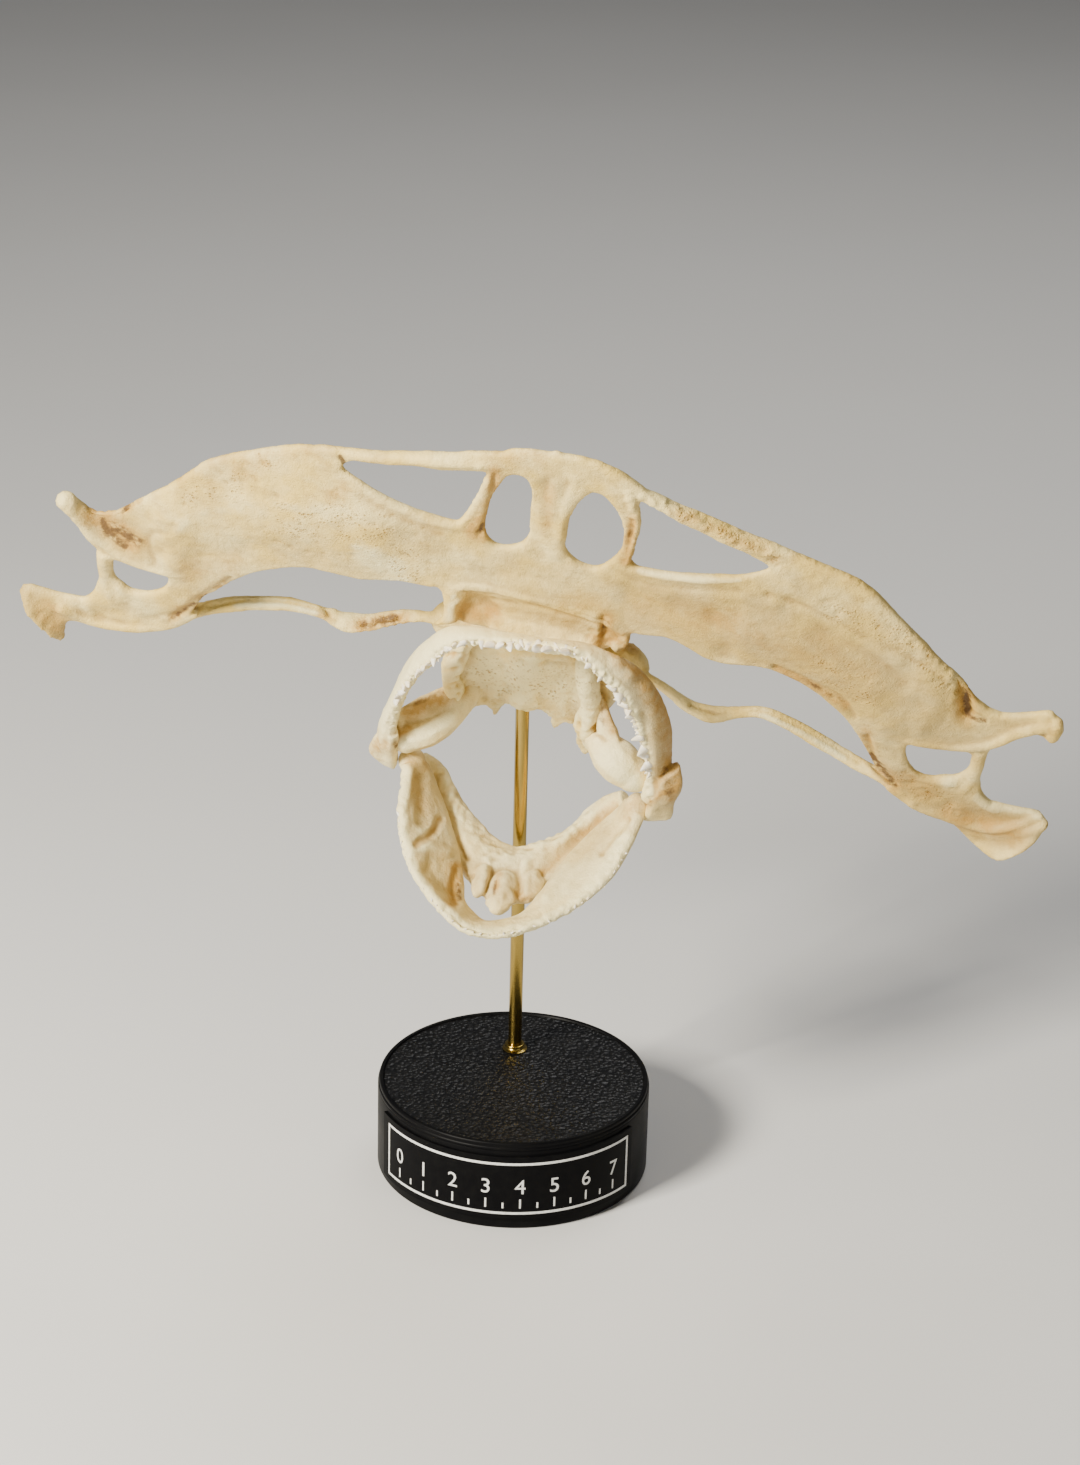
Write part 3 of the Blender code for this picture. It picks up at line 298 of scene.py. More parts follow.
def strap_mesh(name, stations):
    """A flattened bar: each station is its middle, breadth, thickness and turn."""
    middles = np.array([middle for middle, breadth, thickness, turn in stations], float)
    along = np.gradient(middles, axis=0)
    edges = []
    for (middle, breadth, thickness, turn), run in zip(stations, along):
        middle = Vector(middle)
        sight = (Vector(EYE) - middle).normalized()
        across = Vector(run).normalized().cross(sight).normalized()
        across.rotate(Matrix.Rotation(math.radians(turn), 3, Vector(run).normalized()))
        half = across * breadth * 0.5
        edges.append((tuple(middle - half), tuple(middle + half), thickness))
    return blade_mesh(name, edges, fullness=0.9)


def lump_mesh(name, middle, sizes):
    """An ellipsoid."""
    bm = bmesh.new()
    place = Matrix.Translation(Vector(middle) * MM) @ Matrix.Diagonal((*(Vector(sizes) * MM), 1.0))
    bmesh.ops.create_uvsphere(bm, u_segments=32, v_segments=20, radius=1.0, matrix=place)
    return mesh_from(bm, name)


# %% Melt the pieces into one skin
def fuse(name, meshes, skin, rounds):
    """One closed skin round all the meshes, softened."""
    bm = bmesh.new()
    for mesh in meshes:
        bm.from_mesh(mesh)
        bpy.data.meshes.remove(mesh)
    made = add_object(name, mesh_from(bm, name))
    remesh = made.modifiers.new("skin", "REMESH")
    remesh.mode = "VOXEL"
    remesh.voxel_size = skin * MM
    soften = made.modifiers.new("soften", "SMOOTH")
    soften.factor = 0.5
    soften.iterations = rounds
    return bake(made)


def keep_largest(mesh):
    """Only the largest closed surface of a mesh stays."""
    bm = bmesh.new()
    bm.from_mesh(mesh)
    left = set(bm.verts)
    islands = []
    while left:
        seed = left.pop()
        island = {seed}
        front = [seed]
        while front:
            for edge in front.pop().link_edges:
                for other in edge.verts:
                    if other in left:
                        left.remove(other)
                        island.add(other)
                        front.append(other)
        islands.append(island)
    islands.sort(key=len)
    bmesh.ops.delete(bm, geom=[vertex for island in islands[:-1] for vertex in island], context="VERTS")
    bm.to_mesh(mesh)
    bm.free()


# %% Read and move the points of a mesh
def positions_of(mesh):
    flat = np.empty(len(mesh.vertices) * 3)
    mesh.vertices.foreach_get("co", flat)
    return flat.reshape(-1, 3) / MM


def set_positions(mesh, positions):
    mesh.vertices.foreach_set("co", (positions * MM).ravel())
    mesh.update()


def normals_of(mesh):
    flat = np.empty(len(mesh.vertices) * 3)
    mesh.vertex_normals.foreach_get("vector", flat)
    return flat.reshape(-1, 3)


FACING_GAIN = 1.6


def facing_of(mesh):
    """1 on the side that faces the viewer, 0 on the far side."""
    sight = EYE - positions_of(mesh)
    sight /= np.linalg.norm(sight, axis=1, keepdims=True)
    return np.clip(np.sum(normals_of(mesh) * sight, axis=1) * FACING_GAIN, 0.0, 1.0)


def distance_to_line(positions, line):
    """Distance of each position to the nearest point of a run of straight stretches."""
    nearest = np.full(len(positions), np.inf)
    for start, end in zip(line, line[1:]):
        run = end - start
        share = np.clip((positions - start) @ run / (run @ run), 0.0, 1.0)
        gap = np.linalg.norm(positions - start - share[:, None] * run, axis=1)
        nearest = np.minimum(nearest, gap)
    return nearest


def as_seen(points):
    """Points moved along the line of sight onto a sphere about the viewer's eye."""
    way = np.array(points, float) - EYE
    return EYE + way / np.linalg.norm(way, axis=1, keepdims=True) * SIGHT


def stroke_weight(seen, line, reach):
    """1 on a stroke's line in the view, fading smoothly to 0 at its reach.

    A point of the line is (u, v, w), or (u, v) where w is 0.
    """
    whole = [(*point, 0)[:3] for point in line]
    fade = np.clip(1.0 - distance_to_line(seen, as_seen(smooth_rows(whole, 3))) / reach, 0.0, 1.0)
    return fade * fade * (3.0 - 2.0 * fade)


def carve(made, strokes):
    """Raise or sink the side that faces the viewer along each stroke's line."""
    mesh = made.data
    positions = positions_of(mesh)
    seen = as_seen(positions)
    shift = np.zeros(len(positions))
    for line, reach, height in strokes:
        shift += height * stroke_weight(seen, line, reach)
    set_positions(mesh, positions + normals_of(mesh) * (shift * facing_of(mesh))[:, None])


# %% [markdown]
# Dried cartilage is never smooth. A ripple moves each point along its normal by layered noise,
# stronger along rough bands. Pores are small round pits scattered along a line. Last, each point
# is painted with how hollow the skin is there, found by comparing it with the average of its
# neighbours. The finish darkens the hollows with painted shade and with the dirt and glue that
# settle there, while ridges are rubbed pale.


# %% Ripples, pores and painted marks
COARSE_LUMPS = 7.0
FINE_LUMPS = 2.4
FINE_SHARE = 0.45


def lumps_at(positions, size, shift):
    """Smooth noise from -1 to 1, with lumps of the given size in millimetres."""
    offset = Vector((shift, 2.0 * shift, -shift))
    return np.array([noise.noise(Vector(row) + offset) for row in positions / size])


def ripple(made, height, bands):
    """Uneven skin all over, with rough bands of (line, reach, height, size)."""
    mesh = made.data
    positions = positions_of(mesh)
    seen = as_seen(positions)
    fine = FINE_SHARE * lumps_at(positions, FINE_LUMPS, 9.0)
    shift = height * (lumps_at(positions, COARSE_LUMPS, 3.0) + fine)
    for line, reach, rough, size in bands:
        shift += rough * stroke_weight(seen, line, reach) * lumps_at(positions, size, 21.0)
    set_positions(mesh, positions + normals_of(mesh) * shift[:, None])


def pierce(made, pores, seed):
    """Small pits scattered along lines: (line, spread, count, radius, depth)."""
    mesh = made.data
    positions = positions_of(mesh)
    seen = as_seen(positions)
    facing = facing_of(mesh)
    chance = np.random.default_rng(seed)
    shift = np.zeros(len(positions))
    for line, spread, count, radius, depth in pores:
        near = np.flatnonzero((stroke_weight(seen, line, spread) > 0) & (facing > 0.5))
        for middle in positions[chance.choice(near, count)]:
            size = radius * chance.uniform(0.6, 1.3)
            reach = np.linalg.norm(positions[near] - middle, axis=1)
            fade = np.clip(1.0 - reach / size, 0.0, 1.0)
            shift[near] = np.minimum(shift[near], -depth * fade * (2.0 - fade))
    set_positions(mesh, positions + normals_of(mesh) * shift[:, None])


def neighbour_average(mesh, positions, rounds):
    """Positions averaged again and again with those of their neighbours."""
    ends = np.empty(len(mesh.edges) * 2, int)
    mesh.edges.foreach_get("vertices", ends)
    first, second = ends.reshape(-1, 2).T
    count = len(positions)
    shares = np.bincount(first, minlength=count) + np.bincount(second, minlength=count)
    for _ in range(rounds):
        columns = []
        for column in positions.T:
            total = np.bincount(first, column[second], count) + np.bincount(second, column[first], count)
            columns.append(total / shares)
        positions = np.column_stack(columns)
    return positions


def paint(mesh, name, values):
    """Keep one number from 0 to 1 for each point, for the finish to read."""
    mark = mesh.attributes.new(name, "FLOAT", "POINT")
    mark.data.foreach_set("value", np.clip(values, 0.0, 1.0))


def paint_marks(made, marks, rounds, depth):
    """Paint the strokes of each mark, and how hollow and how sharp the skin is."""
    mesh = made.data
    positions = positions_of(mesh)
    seen = as_seen(positions)
    for name, strokes in marks.items():
        amount = np.zeros(len(positions))
        for line, reach, strength in strokes:
            amount = np.maximum(amount, strength * stroke_weight(seen, line, reach))
        paint(mesh, name, amount)
    sunk = np.sum((neighbour_average(mesh, positions, rounds) - positions) * normals_of(mesh), axis=1)
    paint(mesh, "hollow", sunk / depth)
    paint(mesh, "ridge", -sunk / depth)

# %% [markdown]
# ## Finishes
#
# A finish is a tree of shader nodes. Written as plain arithmetic it is much easier to read, so a
# small class stands for a socket and adds a Math node whenever values are worked out with it.
# Colours go through Mix nodes. Only the colour, the roughness and the bump change over a surface.


# %% One way to add any node
def enabled_socket(sockets, key):
    """A socket by its place or by its name among those in use."""
    if isinstance(key, int):
        return sockets[key]
    return next(socket for socket in sockets if socket.name == key and socket.enabled)


def add_node(tree, kind, settings, values):
    """A node with its settings made first, and its sockets then given values or links."""
    made = tree.nodes.new(kind)
    for setting, value in settings.items():
        setattr(made, setting, value)
    for key, value in values.items():
        socket = enabled_socket(made.inputs, key)
        value = getattr(value, "socket", value)
        if isinstance(value, bpy.types.NodeSocket):
            tree.links.new(value, socket)
        else:
            socket.default_value = value
    return made


class Amount:
    """A shader socket that takes part in arithmetic by adding Math nodes."""

    def __init__(self, tree, socket):
        self.tree = tree
        self.socket = socket

    def maths(self, operation, first, second=0.0, clamp=False):
        settings = {"operation": operation, "use_clamp": clamp}
        made = add_node(self.tree, "ShaderNodeMath", settings, {0: first, 1: second})
        return Amount(self.tree, made.outputs[0])

    def __add__(self, other):
        return self.maths("ADD", self, other)

    def __sub__(self, other):
        return self.maths("SUBTRACT", self, other)

    def __rsub__(self, other):
        return self.maths("SUBTRACT", other, self)

    def __mul__(self, other):
        return self.maths("MULTIPLY", self, other)

    __radd__ = __add__
    __rmul__ = __mul__

    def above(self, level, softness):
        """0 below the level, rising to 1 within the softness."""
        return self.maths("MULTIPLY", self - level, 1.0 / softness, clamp=True)


class Finish:
    """One material, with its shader and its patterns."""

    def __init__(self, name, colour, roughness, metallic=0.0, gloss=0.35):
        self.material = bpy.data.materials.new(name)
        self.material.use_nodes = True
        self.tree = self.material.node_tree
        self.shader = self.tree.nodes["Principled BSDF"]
        self.shader.inputs["Base Color"].default_value = (*colour, 1.0)
        self.shader.inputs["Roughness"].default_value = roughness
        self.shader.inputs["Metallic"].default_value = metallic
        self.shader.inputs["Specular IOR Level"].default_value = gloss

    def add(self, kind, settings, values, output=0):
        made = add_node(self.tree, kind, settings, values)
        return Amount(self.tree, made.outputs[output])

    def places(self, **mapping):
        """Object coordinates, moved, turned and scaled by a Mapping node."""
        place = self.add("ShaderNodeTexCoord", {}, {}, "Object")
        return self.add("ShaderNodeMapping", {"vector_type": "TEXTURE"}, {"Vector": place, **mapping})

    def clouds(self, place, scale, detail=3.0, rough=0.55):
        return self.add("ShaderNodeTexNoise", {}, {"Vector": place, "Scale": scale, "Detail": detail,
                                                   "Roughness": rough})

    def mark(self, name):
        """A number painted on the mesh."""
        return self.add("ShaderNodeAttribute", {"attribute_name": name}, {}, "Fac")

    def mix(self, amount, first, second):
        """Two colours mixed; a colour is a link or three numbers."""
        first, second = [(*end, 1.0) if isinstance(end, tuple) else end for end in (first, second)]
        made = add_node(self.tree, "ShaderNodeMix", {"data_type": "RGBA"}, {0: amount, 6: first, 7: second})
        return Amount(self.tree, made.outputs[2])

    def bump(self, height, distance, under=None, strength=1.0):
        values = {"Height": height, "Distance": distance, "Strength": strength}
        if under is not None:
            values["Normal"] = under
        return self.add("ShaderNodeBump", {}, values)

    def feed(self, **values):
        """Links for the shader's own sockets, by name with _ for a space."""
        for name, value in values.items():
            self.tree.links.new(value.socket, self.shader.inputs[name.replace("_", " ")])
        return self.material


# %% [markdown]
# Dried cartilage is cream, with paler chalky patches, tan stains and darker hollows. The colour is
# built in layers: slow clouds between two creams, a fine mottle, painted shade in the hollows
# together with their dirt and along painted shade strokes, tan and brown where they were painted,
# a few of the tan strokes being painted shade, and chalk where it was painted and on the ridges,
# with one stroke of painted light. The grain is tiny bumps, since the real surface is a mosaic of
# little plates less than a millimetre across.


# %% Dried cartilage
CREAM = (0.80, 0.57, 0.15)
PALE_CREAM = (0.92, 0.74, 0.31)
CHALK_AND_PAINTED_LIGHT = (0.95, 0.85, 0.47)
# A darker tone for the random mottle and streaks, also used for the painted shade in hollows and along
# painted shade strokes.
MOTTLE_AND_SHADE = (0.40, 0.26, 0.075)
TAN = (0.48, 0.26, 0.045)
BROWN = (0.10, 0.046, 0.012)
JAW_CREAM = (0.84, 0.67, 0.30)
PALE_JAW_CREAM = (0.93, 0.81, 0.46)

# How fine each pattern is, in steps to a millimetre, and how far the streaks are drawn out
SLOW_CLOUDS, PATCHES, MOTTLE, GRAIN = 0.055, 0.14, 0.32, 1.9
PLATES, SPECKS, STREAKS = 1.25, 0.95, 0.8
STREAK_LENGTH = 6.0


def cartilage(name, cream, pale, chalk_and_light_level):
    """The layered finish of one kind of cartilage."""
    finish = Finish(name, cream, 0.5)
    pose = {"Location": SKULL_PLACE * MM, "Rotation": SKULL_TURN}
    place = finish.places(**pose, Scale=(MM, MM, MM))
    slow = finish.clouds(place, SLOW_CLOUDS, 3.0)
    patches = finish.clouds(place, PATCHES, 4.0, 0.6)
    mottle = finish.clouds(place, MOTTLE, 5.0, 0.65)
    grain = finish.clouds(place, GRAIN, 4.0, 0.6)
    streaks = finish.clouds(finish.places(**pose, Scale=(MM, STREAK_LENGTH * MM, MM)), STREAKS, 3.0)
    plates = finish.add("ShaderNodeTexVoronoi", {"feature": "DISTANCE_TO_EDGE"},
                        {"Vector": place, "Scale": PLATES})
    specks = finish.add("ShaderNodeTexVoronoi", {"feature": "F1"}, {"Vector": place, "Scale": SPECKS})
    pits = (0.42 - specks).above(0.0, 0.2) * finish.mark("pores") * mottle.above(0.42, 0.2)
    uneven = mottle.above(0.30, 0.36)
    # Darkening in the hollows: painted shade, together with the dirt that settles there.
    hollow = finish.mark("hollow") * (0.55 + mottle)
    # Painted shade, laid on by strokes of its own mark.
    shade = finish.mark("shade") * (0.6 + slow * 0.8)
    # Stains, and a few strokes of painted shade.
    stain = finish.mark("stain") * (0.35 + uneven)
    burn = finish.mark("burn") * uneven * 1.7
    # Chalk and rubbed ridges, and one stroke of painted light.
    chalk = finish.mark("chalk") * (0.5 + mottle) + finish.mark("ridge") * 0.4 + slow * 0.3
    layers = [
        (patches.above(0.50, 0.2), 0.4, MOTTLE_AND_SHADE),
        (mottle.above(0.52, 0.22), 0.3, MOTTLE_AND_SHADE),
        (streaks.above(0.52, 0.2), 0.18, MOTTLE_AND_SHADE),
        (hollow.above(0.12, 0.9), 0.75, MOTTLE_AND_SHADE),
        (shade.above(0.0, 1.0), 0.72, MOTTLE_AND_SHADE),
        (stain.above(0.06, 0.8), 0.85, TAN),
        (burn.above(0.25, 0.5), 0.85, BROWN),
        (chalk.above(chalk_and_light_level, 0.5), 0.8, CHALK_AND_PAINTED_LIGHT),
        (grain.above(0.62, 0.12), 0.16, TAN),
        (pits, 0.8, TAN),
    ]
    colour = finish.mix(slow.above(0.40, 0.22), cream, pale)
    for mask, strength, layer_colour in layers:
        colour = finish.mix(mask * strength, colour, layer_colour)
    bumps = finish.bump(mottle, 0.7 * MM, strength=0.8)
    bumps = finish.bump(grain, 0.22 * MM, bumps, strength=0.8)
    bumps = finish.bump(1.0 - pits, 0.4 * MM, bumps)
    bumps = finish.bump(plates.above(0.02, 0.12), 0.03 * MM, bumps, strength=0.6)
    return finish.feed(Base_Color=colour, Roughness=0.42 + mottle * 0.25, Normal=bumps)


wing_bone = cartilage("dried_cartilage", CREAM, PALE_CREAM, 0.62)
jaw_bone = cartilage("jaw_cartilage", JAW_CREAM, PALE_JAW_CREAM, 0.50)
print("materials so far:", len(bpy.data.materials))

# %% [markdown]
# ## The cranium
#
# The hammer is a thin plate, cut by two long windows in front, two oval ones beside the snout and
# a hole near each tip. Its outline needs a point only where it turns. Rolled rims run along its
# edges as round bars, and the braincase behind the mouth is a heap of rounded masses.

# %% Outline and windows of the plate
# Winged plate, seen from below, in (u, v)
PLATE_THICKNESS = 2.5
PLATE_INSET = 0.9
LEFT_TIP = [(-95, -38), (-98, -47), (-104, -53), (-112, -58), (-122, -61), (-131, -60), (-134, -62),
            (-136, -72), (-141, -72), (-147, -65), (-149, -56), (-149, -50), (-145, -46), (-138, -47),
            (-131, -47), (-127, -42), (-125, -34), (-124, -24), (-128, -17), (-132, -9), (-136, -4),
            (-135, 1), (-132, 3), (-128, 0), (-124, -3), (-119, -1), (-113, 6)]
FRONT_EDGE = [(-101, 20), (-94, 30), (-86, 37), (-76, 43), (-66, 48), (-56, 49), (-47, 51), (-37, 55),
              (-27, 59), (-17, 63), (-6, 66), (2, 69), (11, 69), (19, 66), (28, 60), (41, 57), (50, 54),
              (61, 51), (74, 47), (85, 43), (97, 31), (108, 19)]
RIGHT_TIP = [(116, 11), (121, 4), (128, 0), (136, 4), (141, 6), (144, -2), (143, -8), (138, -7), (132, -11),
             (129, -19), (128, -26), (129, -34), (131, -41), (135, -44), (142, -43), (147, -43), (150, -48),
             (148, -58), (145, -67), (140, -74), (134, -70), (127, -61), (117, -57), (110, -54), (106, -50)]
BACK_EDGE = [(101, -42), (97, -35), (93, -27), (87, -18), (79, -11), (71, -6), (64, -4), (57, -4), (50, -7),
             (44, -4), (37, -1), (30, -1), (24, -6), (18, -14), (-18, -16), (-24, -12), (-27, -4),
             (-32, -1), (-38, -3), (-46, -6), (-57, -7), (-66, -7), (-76, -12), (-84, -20), (-91, -30)]
WINDOWS = [
    [(-17, 53), (-18, 46), (-20, 35), (-23, 30), (-33, 29), (-43, 32), (-51, 38), (-54, 42), (-50, 46),
     (-38, 49), (-28, 50)],
    [(21, 56), (28, 54), (37, 50), (46, 46), (54, 43), (58, 40), (54, 35), (44, 31), (33, 28), (26, 28),
     (24, 32), (24, 42), (22, 50)],
    [(-8, 55), (-6, 50), (-5, 42), (-5, 34), (-7, 27), (-12, 24), (-15, 28), (-15, 36), (-14, 44), (-11, 53)],
    [(12, 55), (16, 51), (19, 43), (19, 34), (15, 25), (11, 24), (7, 28), (6, 35), (7, 44), (9, 51)],
    [(-119, -25), (-112, -26), (-105, -26), (-106, -32), (-111, -36), (-116, -36), (-119, -31)],
    [(107, -25), (115, -24), (123, -23), (123, -30), (119, -36), (113, -38), (109, -34)],
]

# %% Rims
# Rods and rolled rims on the plate: points (u, v, height towards the viewer) and radii
RIMS = [
    ([(-62, 47, 0), (-47, 49, 0.4), (-37, 52, 0.6), (-27, 55, 0.6), (-17, 57.5, 0.3), (-8, 60, -0.6)],
     [1.4, 1.9, 2.1, 2.2, 2.0, 1.2]),
    ([(18, 61, -0.6), (25, 58.5, 0.1), (33, 55, 0.5), (43, 51.5, 0.5), (53, 48, 0.4), (66, 47, 0)],
     [1.2, 1.9, 2.3, 2.5, 2.3, 1.0]),
    ([(-56, 41, 0), (-49, 35, 0.3), (-41, 30.5, 0.6), (-32, 28, 0.9), (-23, 27.5, 1.0)],
     [0.9, 1.3, 1.5, 1.6, 1.4]),
    ([(24, 26, 0.9), (33, 26.5, 0.9), (44, 29.5, 0.6), (54, 34, 0.3), (61, 41, 0)],
     [1.4, 1.5, 1.5, 1.2, 0.8]),
    ([(-14.5, 57, 0.2), (-17, 47, 0.3), (-19.5, 37, 0.3), (-22.5, 28, 0.3)],
     [1.6, 1.4, 1.3, 1.6]),
    ([(20, 60, 0.2), (22, 53, 0.8), (23.2, 45, 1.2), (22.6, 36, 0.8), (22, 26, 0.2)],
     [1.8, 1.6, 1.3, 1.2, 1.5]),
    ([(-133, -1, 2), (-128, -8, 1), (-122, -17, 0.4), (-114, -23, 0.4), (-104, -24.5, 0.4), (-94, -24, 0)],
     [2.7, 2.2, 1.9, 1.7, 1.6, 1.1]),
    ([(-122, -22, 0), (-122, -31, 0), (-121, -40, -0.5), (-119.5, -45, -1.2)],
     [2.5, 2.3, 2.4, 1.8]),
    ([(-96, -42, 0), (-104, -50, 0), (-116, -56, 0.6), (-128, -57, 1), (-137, -55, 3)],
     [1.4, 1.9, 2.2, 2.1, 1.8]),
    ([(100, -22, 0), (108, -23, 0.4), (118, -21, 0.6), (127, -16, 0.8), (134, -7, 1.4), (141, -1, 2)],
     [1.1, 1.6, 1.8, 2.0, 2.2, 2.3]),
    ([(125.5, -20, 0), (126, -29, 0), (125, -38, -0.5), (123.5, -44, -1.2)],
     [2.3, 2.1, 2.2, 1.6]),
    ([(104, -48, 0), (111, -52, 0), (118, -55, 0.3), (126, -57, 0.4)],
     [1.4, 2.0, 2.0, 1.4]),
    ([(-92, -29, 0), (-84, -18.5, 0), (-75, -10.5, 0), (-64, -5.5, 0.2), (-50, -5, 0.3), (-38, -1.5, 0.3),
      (-29, -1, 0)], [1.1, 1.2, 1.3, 1.3, 1.4, 1.4, 1.4]),
    ([(101, -41, 0), (95, -29, 0), (87, -16.5, 0), (77, -8, 0), (64, -2.8, 0.2), (50, -5, 0.3),
      (37, 0.5, 0.3), (27, -1, 0)], [1.1, 1.2, 1.3, 1.3, 1.4, 1.5, 1.4, 1.4]),
    ([(-24, -7, 0), (-22, 0, 1.4), (-13, 2.5, 2.8), (0, 2.4, 3.2), (11, 1.2, 2.8), (19, 0, 2), (24, -2, 1)],
     [1.5, 1.5, 1.4, 1.4, 1.4, 1.5, 1.5]),
    ([(17.2, 1, 0.5), (17.8, -5, 1.5), (15.8, -12, 3)], [1.5, 1.2, 1.6]),
    ([(22.6, 0, 0.5), (24.8, -5.5, 1.5), (22.5, -12, 3)], [1.9, 1.6, 1.9]),
]

# %% Masses, floor and walls
# Rounded masses of the skull: middle (u, v, w) and half sizes
MASSES = [
    ((0, 6.5, -2.0), (25, 12, 4.2)), ((-33, 11, -1.2), (16, 11, 2.8)), ((34, 11, -1.2), (16, 11, 2.8)),
    ((0.5, 42, -0.3), (5.4, 27, 2.3)), ((2, 61, -0.3), (17, 6.5, 1.7)), ((0, -7, -8), (23, 12, 6)),
    ((0, -34, -17), (21, 29, 12)), ((-18, -50, -14), (8, 15, 8)), ((17, -50, -14), (8, 15, 8)),
    ((0, -52, -16), (19, 13, 9)), ((-1.5, -58, -7.5), (5.5, 4.5, 3.2)), ((0, -22, -8), (9, 16, 4)),
    ((-23, -33, -11), (8, 9, 4.5)), ((24, -35, -11), (8, 9, 4.5)), ((-131.5, -0.5, 1), (3.0, 3.4, 2.4)),
    ((142.5, -1.5, 1), (2.4, 5.6, 2.6)),
]

# Back rim of the braincase's floor with its torn points, in (u, v), at one level
FLOOR_LEVEL = -8.5
FLOOR_THICKNESS = 3.4
FLOOR_EDGE = [(-23, -28), (-24, -50), (-22, -64), (-19.5, -77), (-17, -70), (-12, -66), (-9.2, -70),
              (-7, -63), (-2, -60), (3, -61), (6, -63), (8, -70), (10.5, -65), (14, -66), (15, -74),
              (18, -79), (21, -72), (23, -50), (23, -28)]

# Flat roof of the mouth between the plate's back ridge and the upper jaw: edge on the
# ridge, edge on the jaw and thickness
PALATE = [((-12.5, 1, -4), (-12, -13, 3.0), 2.6), ((0, 1, -3.8), (0, -14, 3.2), 3.0),
          ((10, 0, -3.8), (11, -12, 3.2), 3.0), ((18, -1, -4), (18.5, -12, 3.0), 2.6)]

# Torn walls beside the braincase's floor: points (u, v, w) and radii
LEFT_WALL = ([(-19, -30, -6), (-22, -42, -4), (-22.5, -50, -3.4), (-21.5, -57, -4), (-21.5, -63, -4),
              (-19, -70, -6)], [2.6, 3.4, 2.6, 3.2, 2.4, 1.8])
RIGHT_WALL = ([(14, -24, -4), (16, -34, -2.6), (18, -46, -3), (17.5, -56, -2.8), (20, -64, -3.6),
               (20, -74, -7)], [2.6, 3.4, 3.0, 3.6, 3.4, 2.0])

# %% Foot and bars
# Flared feet at the ends of the tips and the pillar at the brow's left end: one edge,
# other edge (u, v, height) and thickness
LEFT_FOOT = [((-127, -47, 0), (-126, -59, 1), 3.0), ((-137, -47.5, 0), (-134.5, -61, 1), 3.0),
             ((-143.5, -46.5, 0), (-136.5, -71, 0), 3.2), ((-147, -47.5, 0), (-143, -67, 0), 3.2),
             ((-148.4, -51, 0), (-147.4, -59, 0), 2.6)]
RIGHT_FOOT = [((119, -45.5, 0), (116, -56, 0), 2.8), ((128, -44.5, 0), (124, -59, 0.4), 3.0),
              ((136, -44, 0), (131.5, -66.5, 0.8), 3.0), ((142.5, -43.4, 0), (139.5, -73.5, 0), 3.0),
              ((147.2, -44, 0), (145.5, -68, 0), 3.0), ((149.8, -48, 0), (148.8, -57, 0), 2.4)]
PILLAR = [((-26.5, -2, -0.6), (-18.5, -0.5, 0), 3.4), ((-25.6, -8.5, 0.4), (-19.6, -8.5, 1.2), 3.8),
          ((-25.6, -15, 1), (-20.6, -14.5, 2.4), 3.8), ((-28, -20, 1.6), (-22.8, -18, 3.4), 3.2)]

# Bars behind the eyes, from the braincase out to the tips: middle (u, v, w), breadth
# across the view, thickness, and turn about their own line in degrees
LEFT_BAR = [((-24, -31, -9), 4.2, 3.4, 0), ((-32, -29.5, -8), 3.8, 2.6, 10), ((-40, -33, -8), 4.6, 2.4, 25),
            ((-48, -39, -8), 6.2, 2.4, 35), ((-55, -41, -8), 6.0, 2.6, 10), ((-62, -39, -8), 3.9, 2.8, -15),
            ((-72, -39, -8), 4.4, 2.8, -10), ((-82, -42, -7.5), 4.6, 2.8, 0),
            ((-91, -44, -5.5), 4.6, 2.8, 0), ((-100, -47, -2.5), 4.4, 2.8, 0),
            ((-108, -51, -0.5), 4.0, 2.6, 0)]
RIGHT_BAR = [((25, -34, -9), 4.0, 3.4, 0), ((32, -34, -8), 2.6, 2.2, -10), ((38, -38, -8), 3.2, 2.2, -25),
             ((45, -43.5, -8), 4.8, 2.4, -35), ((52, -45, -8), 5.6, 2.4, -10),
             ((59, -41, -8), 3.8, 2.8, 20), ((66, -38.5, -8), 3.9, 2.8, 10), ((76, -42, -8), 4.4, 2.8, 0),
             ((86, -47, -7.5), 4.3, 2.8, 0), ((95, -50, -6), 4.2, 2.8, 0), ((104, -50, -3), 4.2, 2.8, 0),
             ((112, -54, -0.5), 3.6, 2.6, 0)]

